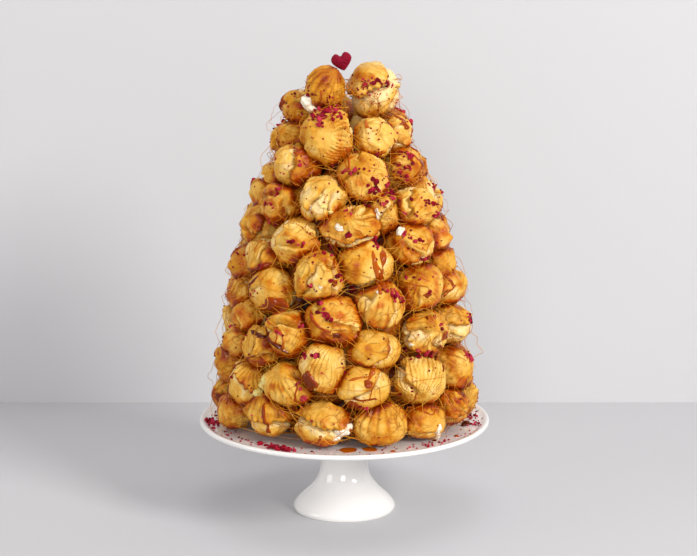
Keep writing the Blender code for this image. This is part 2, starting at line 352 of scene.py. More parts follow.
@dataclass(frozen=True)
class SpunSugar:
    """Caramel drawn into hair-fine threads, clear golden and glassy."""

    name: str = "spun_sugar_thread"
    dark: str = "A65E08"
    golden: str = "CC7F14"
    light: str = "EAAA34"
    drift_mm: float = 30.0
    roughness: float = 0.2
    gloss: float = 0.35

    def make(self) -> bpy.types.Material:
        """Build the material.

        Returns:
            The finished material.
        """
        finish = Finish(self.name)
        stops = {0.3: self.dark, 0.5: self.golden, 0.7: self.light}
        finish.feed("Base Color", finish.ramp(finish.noise(self.drift_mm, 2.0), stops))
        finish.feed("Roughness", self.roughness)
        finish.feed("Specular IOR Level", self.gloss)
        return finish.material


@dataclass(frozen=True)
class FreezeDriedFruit:
    """Freeze-dried red berry: matte, porous, crimson with paler pink faces.

    The mesh carries shade, from 0 for the darkest bits to 1 for the pink ones: a random tone on each crumb,
    and painted shade on the heart, dark between its drupelets.
    """

    name: str = "freeze_dried_berry"
    dark: str = "5C0414"
    crimson: str = "940A24"
    pink: str = "CC3E58"
    grain_mm: float = 1.3
    roughness: float = 0.7
    gloss: float = 0.12

    def make(self) -> bpy.types.Material:
        """Build the material.

        Returns:
            The finished material.
        """
        finish = Finish(self.name)
        pores = finish.noise(self.grain_mm, 3.0)
        level = finish.uneven(finish.painted("shade"), pores, 0.5)
        finish.feed("Base Color", finish.ramp(level, {0.0: self.dark, 0.45: self.crimson, 1.0: self.pink}))
        finish.feed("Normal", finish.bump(pores, 0.6, 0.4))
        finish.feed("Roughness", self.roughness)
        finish.feed("Specular IOR Level", self.gloss)
        return finish.material


@dataclass(frozen=True)
class WhippedCream:
    """Piped cream: soft ivory white, smooth with small torn peaks."""

    name: str = "whipped_cream"
    light: str = "F2E9D8"
    shade: str = "DCCBA6"
    peak_mm: float = 3.0
    roughness: float = 0.42

    def make(self) -> bpy.types.Material:
        """Build the material.

        Returns:
            The finished material.
        """
        finish = Finish(self.name)
        soft = finish.noise(self.peak_mm, 3.0)
        finish.feed("Base Color", finish.ramp(soft, {0.35: self.shade, 0.55: self.light}))
        finish.feed("Normal", finish.bump(soft, 0.3, 0.5))
        finish.feed("Roughness", self.roughness)
        return finish.material


@dataclass(frozen=True)
class GlazedPorcelain:
    """White porcelain, cast and glazed: a clear gloss over a bright body.

    The mesh carries dusting, how much berry powder fell on it.
    """

    name: str = "glazed_porcelain"
    body: str = "ECEAE8"
    dust: str = "F2C8CA"
    cloud_mm: float = 14.0
    coat: float = 0.5
    coat_roughness: float = 0.05

    def make(self) -> bpy.types.Material:
        """Build the material.

        Returns:
            The finished material.
        """
        finish = Finish(self.name)
        patch = finish.remap(finish.noise(self.cloud_mm, 6.0, 0.7), (0.42, 0.68), (0.0, 0.5))
        links = {"i0": patch, "i1": finish.painted("dusting")}
        powder = add_node(finish.tree, "ShaderNodeMath", {"operation": "MULTIPLY"}, **links).outputs[0]
        finish.feed("Base Color", finish.mix(powder, self.body, self.dust))
        finish.feed("Roughness", finish.remap(powder, (0.0, 0.5), (0.12, 0.5)))
        finish.feed("Coat Weight", self.coat)
        finish.feed("Coat Roughness", self.coat_roughness)
        return finish.material


@dataclass(frozen=True)
class PaleSurface:
    """Smooth pale matt paint; one_sided leaves it clear from behind."""

    name: str
    colour: str = "C8C8CB"
    roughness: float = 0.9
    gloss: float = 0.1
    one_sided: bool = False

    def make(self) -> bpy.types.Material:
        """Build the material.

        Returns:
            The finished material.
        """
        finish = Finish(self.name)
        finish.feed("Base Color", linear(self.colour))
        finish.feed("Roughness", self.roughness)
        finish.feed("Specular IOR Level", self.gloss)
        if self.one_sided:
            tree = finish.tree
            behind = add_node(tree, "ShaderNodeNewGeometry").outputs["Backfacing"]
            clear = add_node(tree, "ShaderNodeBsdfTransparent").outputs[0]
            links = {"i0": behind, "i1": finish.shader.outputs[0], "i2": clear}
            mixed = add_node(tree, "ShaderNodeMixShader", **links).outputs[0]
            tree.links.new(mixed, tree.nodes["Material Output"].inputs["Surface"])
        return finish.material


# ---------------------------------------------------------------- shared shaping tools


class Lattice:
    """Smooth random values on a repeating lattice, for lumps and folds."""

    SIDE = 24

    def __init__(self, seed: int) -> None:
        """Fill the lattice from a seed."""
        self.values = np.random.default_rng(seed).uniform(-1.0, 1.0, (self.SIDE,) * 3)

    def at(self, points: Array, shift: float = 0.0) -> Array:
        """Read the lattice between its nodes.

        Args:
            points: positions, one row each.
            shift: moves the whole pattern, so that two shapes differ.

        Returns:
            A value from -1 to 1 for each point.
        """
        moved = points + shift * np.array((1.7, 3.1, 5.3))
        low = np.floor(moved)
        fx, fy, fz = ((moved - low) ** 2 * (3.0 - 2.0 * (moved - low))).T
        x0, y0, z0 = low.astype(np.int64).T % self.SIDE
        x1, y1, z1 = (x0 + 1) % self.SIDE, (y0 + 1) % self.SIDE, (z0 + 1) % self.SIDE
        grid = self.values
        near = grid[x0, y0, z0] * (1 - fx) + grid[x1, y0, z0] * fx
        side = grid[x0, y1, z0] * (1 - fx) + grid[x1, y1, z0] * fx
        over = grid[x0, y0, z1] * (1 - fx) + grid[x1, y0, z1] * fx
        far = grid[x0, y1, z1] * (1 - fx) + grid[x1, y1, z1] * fx
        return (near * (1 - fy) + side * fy) * (1 - fz) + (over * (1 - fy) + far * fy) * fz


NOISE = Lattice(7)


def smooth_step(low: float, high: float, value: Array) -> Array:
    """Rise smoothly from 0 to 1 as value goes from low to high."""
    part = np.clip((value - low) / (high - low), 0.0, 1.0)
    return part * part * (3.0 - 2.0 * part)


def bell(value: Array, centre: float, width: float) -> Array:
    """A bell curve of height 1."""
    return np.exp(-(((value - centre) / width) ** 2))


def clear_selection() -> None:
    """Deselect everything, so that operators act only on what is made next."""
    if bpy.context.object and bpy.context.object.mode != "OBJECT":
        bpy.ops.object.mode_set(mode="OBJECT")
    bpy.ops.object.select_all(action="DESELECT")


def sphere(name: str, segments: int, rings: int) -> Piece:
    """Add a unit sphere at the origin and return its object.

    Args:
        name: the object's name.
        segments: faces round it.
        rings: faces from pole to pole.

    Returns:
        The new object.
    """
    clear_selection()
    bpy.ops.mesh.primitive_uv_sphere_add(segments=segments, ring_count=rings, radius=1.0)
    piece = bpy.context.object
    piece.name = name
    return piece


BALLS: dict[int, bpy.types.Mesh] = {}


def ball(name: str, cells: int) -> Piece:
    """Add a unit ball made from an evenly divided cube, modelled once for each number of cells.

    Args:
        name: the object's name.
        cells: faces along each edge of the cube.

    Returns:
        The new object, with a mesh of its own.
    """
    if cells not in BALLS:
        clear_selection()
        bpy.ops.mesh.primitive_cube_add(size=2.0)
        bpy.ops.object.mode_set(mode="EDIT")
        bpy.ops.mesh.select_all(action="SELECT")
        bpy.ops.mesh.subdivide(number_cuts=cells - 1)
        bpy.ops.transform.tosphere(value=1.0)
        bpy.ops.object.mode_set(mode="OBJECT")
        first = bpy.context.object
        BALLS[cells] = first.data
        bpy.data.objects.remove(first)
    piece = bpy.data.objects.new(name, BALLS[cells].copy())
    bpy.context.scene.collection.objects.link(piece)
    return piece


@cache
def ball_shape(cells: int) -> tuple[Array, list[list[int]]]:
    """Points and faces of a unit ball, for shapes that are heaped into one mesh.

    Args:
        cells: faces along each edge of the cube it starts from.

    Returns:
        The points as rows, and the faces as vertex numbers.
    """
    piece = ball("ball_shape", cells)
    shape = directions(piece), faces_of(piece)
    discard(piece)
    return shape


def discard(piece: Piece) -> None:
    """Delete an object and its mesh."""
    bpy.data.meshes.remove(piece.data)


def points_of(piece: Piece) -> Array:
    """The vertices of a mesh object as rows."""
    flat = np.empty(len(piece.data.vertices) * 3, np.float32)
    piece.data.vertices.foreach_get("co", flat)
    return flat.reshape(-1, 3).astype(float)


def directions(piece: Piece) -> Array:
    """The directions of a mesh object's vertices from its origin, as unit rows."""
    points = points_of(piece)
    return points / np.linalg.norm(points, axis=1)[:, None]


def faces_of(piece: Piece) -> list[list[int]]:
    """The faces of a mesh object as vertex numbers."""
    return [list(face.vertices) for face in piece.data.polygons]


def move_points(piece: Piece, points: Array) -> None:
    """Set the vertices of a mesh object, given in millimetres."""
    piece.data.vertices.foreach_set("co", (points * MM).astype(np.float32).ravel())
    piece.data.update()


def paint(piece: Piece, name: str, values: Array) -> None:
    """Store one value for each vertex as a named attribute."""
    layer = piece.data.attributes.new(name, "FLOAT", "POINT")
    layer.data.foreach_set("value", np.asarray(values, np.float32))


def join(pieces: list[Piece], name: str) -> Piece:
    """Join several mesh objects into one piece with a new name.

    Args:
        pieces: what is joined, into the first of them.
        name: the new name.

    Returns:
        The joined piece.
    """
    clear_selection()
    for piece in pieces:
        piece.select_set(True)
    bpy.context.view_layer.objects.active = pieces[0]
    if len(pieces) > 1:
        bpy.ops.object.join()
    pieces[0].name = name
    pieces[0].data.name = name
    return pieces[0]


def finish_piece(piece: Piece, material: bpy.types.Material, slot: str, *nodes: str) -> None:
    """Give a piece its material and body, and hide the CAD nodes it stands for.

    Args:
        piece: the finished mesh object.
        material: its only material.
        slot: not used.
        nodes: the CAD nodes it stands for, if any.
    """
    piece.data.materials.clear()
    piece.data.materials.append(material)
    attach(piece, "root")
    if nodes:
        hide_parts(*nodes)
    LOG.info("%s: %d vertices", piece.name, len(piece.data.vertices))


# ---------------------------------------------------------------- the tower's layout


@dataclass(frozen=True)
class TowerOutline:
    """The tower's outer radius at each height, from its driving sizes."""

    plate_top: float = 97.0
    height: float = 373.0
    foot_radius: float = 136.0
    fall: float = 100.0
    power: float = 1.9

    def radius(self, height: float) -> float:
        """Outer radius at a height above the table."""
        part = min(max((height - self.plate_top) / self.height, 0.0), 1.0)
        return self.foot_radius - self.fall * part**self.power


class Ribs(Enum):
    """How the piping nozzle left its ribs."""

    ROUNDED = "rounded"
    SHELL = "shell"


@dataclass
class BunForm:
    """What one bun's crust looks like, as fractions of its half-width and angles in degrees.

    lean and turn point the crown: lean is its angle from the front, or from straight
    outwards on the back, and turn is where it leans, clockwise from straight up. crease is
    the angle from the crown at which the cap lifted off the base, and crease_tilt swings it
    lower on the side crease_side. seams are the angles round the crown of deep clefts; None
    leaves them to chance.
    """

    lean: float = 45.0
    turn: float = 0.0
    tone: float = 0.5
    ribs: int = 18
    rib_depth: float = 0.035
    rib_style: Ribs = Ribs.ROUNDED
    rib_side: float = 0.0
    rib_spread: float = 400.0
    rib_end: float = 95.0
    rib_start: float = 5.0
    uneven: float = 1.0
    twist: float = 0.35
    lobes: int = 2
    lobe_depth: float = 0.06
    seams: tuple[float, ...] | None = None
    crease: float = 112.0
    crease_depth: float = 0.08
    crease_tilt: float = 10.0
    crease_side: float = 0.0
    tip: float = 0.07
    tip_width: float = 16.0
    lumps: float = 0.065
    crinkle: float = 0.04
    warp: float = 0.12
    ruffle: float = 0.5
    shelf: float = 0.0
    glaze: float = 0.25
    swell: float = 1.03


@dataclass
class Place:
    """Where a bun is: its middle, half-sizes along side, out and up, and those axes."""

    node: str
    centre: Array
    half: Array
    axes: Array

    @property
    def radius(self) -> float:
        """Mean half-size across."""
        return float(self.half[0] + self.half[2]) / 2.0

    @property
    def azimuth(self) -> float:
        """Degrees round the tower from the front."""
        return math.degrees(math.atan2(self.centre[0], -self.centre[1]))

    @staticmethod
    def axes_at(azimuth: float) -> Array:
        """Side, out and up axes, as columns, at an azimuth in radians.

        Args:
            azimuth: the angle round the tower, in radians.

        Returns:
            The three axes.
        """
        side = (math.cos(azimuth), math.sin(azimuth), 0.0)
        out = (math.sin(azimuth), -math.cos(azimuth), 0.0)
        return np.array((side, out, (0.0, 0.0, 1.0))).T

    @classmethod
    def of_node(cls, node: str) -> "Place":
        """Measure a named bun's CAD node along its own side, out and up axes.

        Args:
            node: the CAD node's name.

        Returns:
            The bun's place.
        """
        points = points_of(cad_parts[node]) / MM
        low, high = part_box(node)
        middle = (np.array(low) + np.array(high)) / 2.0 / MM
        axes = cls.axes_at(math.atan2(middle[0], -middle[1]))
        along = points @ axes
        centre = axes @ ((along.min(0) + along.max(0)) / 2.0)
        return cls(node, centre, (along.max(0) - along.min(0)) / 2.0, axes)


def rotation(axis: str, degrees: float) -> Array:
    """Rotation matrix about X or Y.

    Args:
        axis: X or Y.
        degrees: the turn.

    Returns:
        The matrix.
    """
    c, s = math.cos(math.radians(degrees)), math.sin(math.radians(degrees))
    if axis == "X":
        return np.array(((1.0, 0.0, 0.0), (0.0, c, -s), (0.0, s, c)))
    return np.array(((c, 0.0, s), (0.0, 1.0, 0.0), (-s, 0.0, c)))


@dataclass
class Crust:
    """A bun's surface in its own frame: reach from the middle and what was seen on the way."""

    reach: Array
    crease_shade: Array
    torn: Array
    raised: Array
    rim: Array
    pale: Array


@dataclass
class ChouxBun:
    """One choux bun: a ribbed, folded crust pressed against its neighbours."""

    place: Place
    form: BunForm
    seed: int
    cells: int
    pressed: list[tuple[Array, float]] = field(default_factory=list)

    PRESS_SHARPNESS = 26.0
    # How far the caramel stain and the painted shade reach from a contact.
    STAIN_AND_SHADE_MM = 3.6

    def build(self, name: str) -> Piece:
        """Make the bun's mesh and paint its crust.

        Args:
            name: the object's name.

        Returns:
            The bun, in place.
        """
        piece = ball(name, self.cells)
        ways = directions(piece)
        crust = self.crust(ways)
        facing = Place.axes_at(0.0) if self.place.node.startswith("bun_") else self.place.axes
        crown = rotation("Y", self.form.turn) @ rotation("X", self.form.lean) @ rotation("X", -90.0)
        crown = self.place.axes.T @ facing @ crown
        local = (ways * crust.reach[:, None]) @ crown.T * self.place.half * self.form.swell
        points, contact = self.press(self.place.centre + local @ self.place.axes.T)
        outward = (ways @ crown.T) @ self.place.axes.T
        blister = 0.45 * NOISE.at(points / 3.4, self.seed) + 0.28 * NOISE.at(points / 1.7, self.seed + 3.0)
        points += outward * (blister * (1.0 + 0.8 * crust.torn))[:, None]
        move_points(piece, points)
        self.paint_crust(piece, points, ways, crust, contact)
        piece.data.shade_smooth()
        return piece

    def crust(self, ways: Array) -> Crust:
        """Work out the crust for each direction.

        Args:
            ways: unit directions in the bun's own frame, whose Z is the crown.

        Returns:
            The crust's reach and what was seen on the way.
        """
        form = self.form
        drift = np.stack([NOISE.at(ways * 1.9, self.seed + shift) for shift in (6.1, 7.3, 8.7)], axis=1)
        bent = ways + form.warp * drift
        bent /= np.linalg.norm(bent, axis=1)[:, None]
        polar = np.arccos(np.clip(bent[:, 2], -1.0, 1.0))
        around = np.arctan2(bent[:, 1], bent[:, 0])
        wobble = NOISE.at(ways * 1.5, self.seed)
        fine = NOISE.at(ways * 4.5, self.seed + 0.5)
        frill = NOISE.at(ways * 9.0, self.seed + 0.8)
        reach = 1.0 + form.lumps * (wobble + 0.6 * NOISE.at(ways * 2.8, self.seed + 0.2) + 0.3 * fine)
        reach += form.crinkle * (0.55 - 1.6 * np.abs(NOISE.at(ways * 1.7, self.seed + 3.3)))
        rough = smooth_step(-0.3, 0.4, NOISE.at(ways * 1.4, self.seed + 9.9))
        reach += 0.8 * form.crinkle * rough * (0.6 - 2.0 * np.abs(NOISE.at(ways * 4.2, self.seed + 9.1)))
        swirl = around + form.twist * polar + form.uneven * (0.25 * wobble + 0.10 * fine)

        phase = swirl * form.ribs / (2.0 * math.pi)
        turn = phase % 1.0
        scallop = 0.06 * np.abs(np.sin(math.pi * turn)) if form.ribs > 12 else 0.0
        edge = (
            math.radians(form.crease)
            + math.radians(form.crease_tilt) * np.cos(around - math.radians(form.crease_side))
            + 0.14 * wobble
            + 0.06 * fine
            + 0.03 * frill
            + scallop
        )
        over = polar - edge
        cap = 1.0 - smooth_step(-0.015, 0.05, over)
        crease_shade, rim, pale = self.ledge(reach, over, cap, form.crease_depth, fine)
        if form.shelf:
            lower = polar - math.radians(form.shelf) - 0.25 * wobble - 0.08 * fine
            step = 1.0 - smooth_step(-0.015, 0.05, lower)
            marks = self.ledge(reach, lower, step, 0.7 * form.crease_depth, frill)
            crease_shade, rim, pale = (np.maximum(a, b) for a, b in zip((crease_shade, rim, pale), marks))
        torn = bell(over, 0.16, 0.14) * np.clip(0.5 + 0.9 * fine, 0.0, 1.0)

        raised, valley = self.ribs(form, polar, around, ways, turn, cap, fine)
        reach += 1.5 * form.rib_depth * raised
        # Painted shade in the rib valleys.
        crease_shade = np.maximum(crease_shade, 0.45 * valley * np.clip(0.75 + fine, 0.0, 1.0))

        seams = form.seams
        dice = random.Random(self.seed * 13 + 5)
        if seams is None:
            seams = tuple(dice.uniform(-180.0, 180.0) for _ in range(form.lobes))
        width = np.sin(np.clip(polar, 0.15, 3.0))
        for seam in seams:
            bend = dice.uniform(-0.5, 0.5)
            gap = swirl + bend * polar + 0.25 * NOISE.at(ways * 2.4, seam) - math.radians(seam)
            gap = ((gap + math.pi) % (2.0 * math.pi) - math.pi) * width
            span = smooth_step(0.12, 0.5, polar) * (1.0 - smooth_step(1.9, 2.3, polar))
            lip = smooth_step(-0.03, 0.05, gap) * (1.0 - smooth_step(0.15, 1.0, gap))
            reach += form.lobe_depth * span * (0.9 * lip - 1.3 * bell(gap, -0.02, 0.10))
            # Painted shade along the cleft.
            crease_shade = np.maximum(crease_shade, 0.55 * span * bell(gap, -0.03, 0.045))
            rim = np.maximum(rim, 0.8 * span * bell(gap, 0.08, 0.06) * np.clip(0.6 + fine, 0.0, 1.0))
            torn = np.maximum(torn, 0.6 * span * bell(gap, -0.16, 0.10))

        reach += form.tip * bell(polar, 0.0, math.radians(form.tip_width))
        floor = np.where(ways[:, 2] < -0.05, -0.84 / np.minimum(ways[:, 2], -0.05), 9.0)
        reach = (reach**-12 + floor**-12) ** (-1.0 / 12.0)
        crack = np.abs(NOISE.at(ways * 3.6, self.seed + 1.4))
        split = bell(crack, 0.0, 0.035) * smooth_step(-0.1, 0.4, NOISE.at(ways * 1.4, self.seed + 2.2))
        reach -= 0.015 * split
        # Painted shade in the cracks.
        crease_shade = np.maximum(crease_shade, 0.25 * split)
        reach += 0.025 * np.maximum(torn, 0.6 * pale * form.ruffle) * frill
        return Crust(reach, np.clip(crease_shade, 0.0, 1.0), np.clip(torn, 0.0, 1.0), raised, rim, pale)

    @staticmethod
    def ledge(
        reach: Array, over: Array, cap: Array, depth: float, fine: Array
    ) -> tuple[Array, Array, Array]:
        """Step the crust down past an edge where the cap lifted, in place.

        Args:
            reach: the crust's reach, which is changed.
            over: how far past the edge each point is, in radians.
            cap: 1 on the cap and 0 past its edge.
            depth: how deep the step is.
            fine: small random values.

        Returns:
            The painted shadow under the edge, the browned rim and the pale stretched side.
        """
        reach += depth * 0.35 * smooth_step(-0.55, -0.04, over) * cap
        reach -= depth * (1.0 - cap) * (0.75 - 0.45 * smooth_step(0.25, 0.9, over))
        reach -= depth * 0.8 * bell(over, 0.07, 0.075)
        # Painted shadow under the cap's overhanging edge.
        crease_shade = 0.65 * bell(over, 0.045, 0.045)
        rim = bell(over, -0.04, 0.06) * np.clip(0.65 + 1.1 * fine, 0.0, 1.0) * min(1.0, depth / 0.09)
        pale = (1.0 - cap) * (1.0 - smooth_step(0.35, 0.85, over)) * min(1.0, depth / 0.10)
        return crease_shade, rim, pale

    @staticmethod
    def ribs(
        form: BunForm,
        polar: Array,
        around: Array,
        ways: Array,
        turn: Array,
        cap: Array,
        fine: Array,
    ) -> tuple[Array, Array]:
        """Work out the piped ribs.

        Args:
            form: the bun's form.
            polar: angle from the crown.
            around: angle round the crown.
            ways: unit directions.
            turn: place across a rib, from 0 to 1.
            cap: 1 on the cap and 0 past its edge.
            fine: small random values.

        Returns:
            How far the ribs stand up, and how deep in a valley each point is.
        """
        facing = np.cos(around - math.radians(form.rib_side))
        half = math.radians(min(form.rib_spread, 359.0) / 2.0)
        outer, inner = math.cos(min(half + 0.4, math.pi)), math.cos(max(half - 0.4, 0.0)) + 0.02
        sector = smooth_step(outer, inner, facing)
        if form.rib_spread >= 360.0:
            patchy = 0.7 * NOISE.at(ways * 1.9, form.ribs + 0.9) - 0.2
            sector = np.clip(1.0 + form.uneven * patchy, 0.2, 1.0)
        start, end = math.radians(form.rib_start), math.radians(form.rib_end)
        ending = 1.0 - smooth_step(end - math.radians(25.0), end + math.radians(20.0), polar)
        strength = cap * smooth_step(start, start + 0.32, polar) * sector * ending
        strength *= np.clip(1.0 + form.uneven * (0.6 * fine - 0.15), 0.2, 1.2)
        if form.rib_style is Ribs.SHELL:
            ridge = turn**1.3 - smooth_step(0.80, 1.0, turn)
            valley = bell(turn, 0.97, 0.09) + bell(turn, -0.03, 0.07)
        else:
            ridge = np.abs(np.sin(math.pi * turn)) ** 0.6 - 0.65
            valley = bell(turn, 0.0, 0.10) + bell(turn, 1.0, 0.10)
        return strength * ridge, strength * valley

    def press(self, points: Array) -> tuple[Array, Array]:
        """Flatten the bun softly where it meets its neighbours and the plate.

        Args:
            points: the free crust, in millimetres.

        Returns:
            The pressed points, and how close each is to a contact, from 0 to 1.
        """
        arms = points - self.place.centre
        total = np.ones(len(arms))
        for normal, distance in self.pressed:
            room = distance - float(normal @ self.place.centre)
            along = np.maximum(arms @ normal, 1e-6)
            total += (along / room) ** self.PRESS_SHARPNESS
        pressed = self.place.centre + arms * (total ** (-1.0 / self.PRESS_SHARPNESS))[:, None]
        apart = np.full(len(arms), 99.0)
        for normal, distance in self.pressed:
            apart = np.minimum(apart, distance - pressed @ normal)
        reach = self.STAIN_AND_SHADE_MM * (1.0 + 0.6 * NOISE.at(pressed / 9.0, self.seed + 2.7))
        return pressed, np.exp(-((np.maximum(apart - 1.0, 0.0) / reach) ** 2))

    def paint_crust(
        self,
        piece: Piece,
        points: Array,
        ways: Array,
        crust: Crust,
        contact: Array,
    ) -> None:
        """Store the browning with its painted shade, the glaze and the painted crease shade on the bun.

        Args:
            piece: the bun.
            points: its vertices in millimetres.
            ways: their directions in the bun's own frame.
            crust: its painted crease shade, torn places and ribs.
            contact: how close each point is to a contact.
        """
        form = self.form
        under = np.clip((self.place.centre[2] - points[:, 2]) / self.place.half[2], -1.0, 1.0)
        broad = NOISE.at(points / 16.0, self.seed * 0.3)
        patch = NOISE.at(points / 8.0, self.seed * 0.7 + 4.0)
        polar = np.arccos(np.clip(ways[:, 2], -1.0, 1.0))
        browning_and_shade = form.tone + 0.20 * broad + 0.12 * patch
        # Painted shade: darker toward the bun's underside, on top of some real browning of its base.
        browning_and_shade += 0.24 * smooth_step(0.25, 0.95, under)
        # Browner at the crown; painted light and shade on the ribs, lighter on their tops and darker in their
        # valleys.
        browning_and_shade += 0.10 * bell(polar, 0.0, 0.5) - 0.16 * crust.raised
        # Brown rims, paler stretched and torn crust, and painted shade near the contacts with neighbours and
        # the plate.
        browning_and_shade += 0.30 * crust.rim - 0.20 * crust.pale - 0.32 * crust.torn + 0.30 * contact
        glaze = form.glaze + 0.45 * patch + 0.28 * broad
        # More caramel toward the underside and at the contacts: real caramel, whose darker, redder colour
        # there also stands in for shade under the bun.
        glaze += 0.42 * smooth_step(0.2, 0.9, under) + 0.60 * contact
        glaze *= (1.0 - 0.7 * crust.torn) * (1.0 - 0.45 * crust.pale)
        paint(piece, "browning_and_shade", np.clip(browning_and_shade, 0.02, 0.98))
        paint(piece, "glaze", np.clip(glaze, 0.0, 1.0))
        # Painted shade in the creases.
        paint(piece, "crease_shade", crust.crease_shade)


def known(lean: float, turn: float, tone: float, **more) -> dict:
    """What is known of one bun's form; the rest is left to chance."""
    return {"lean": lean, "turn": turn, "tone": tone, **more}


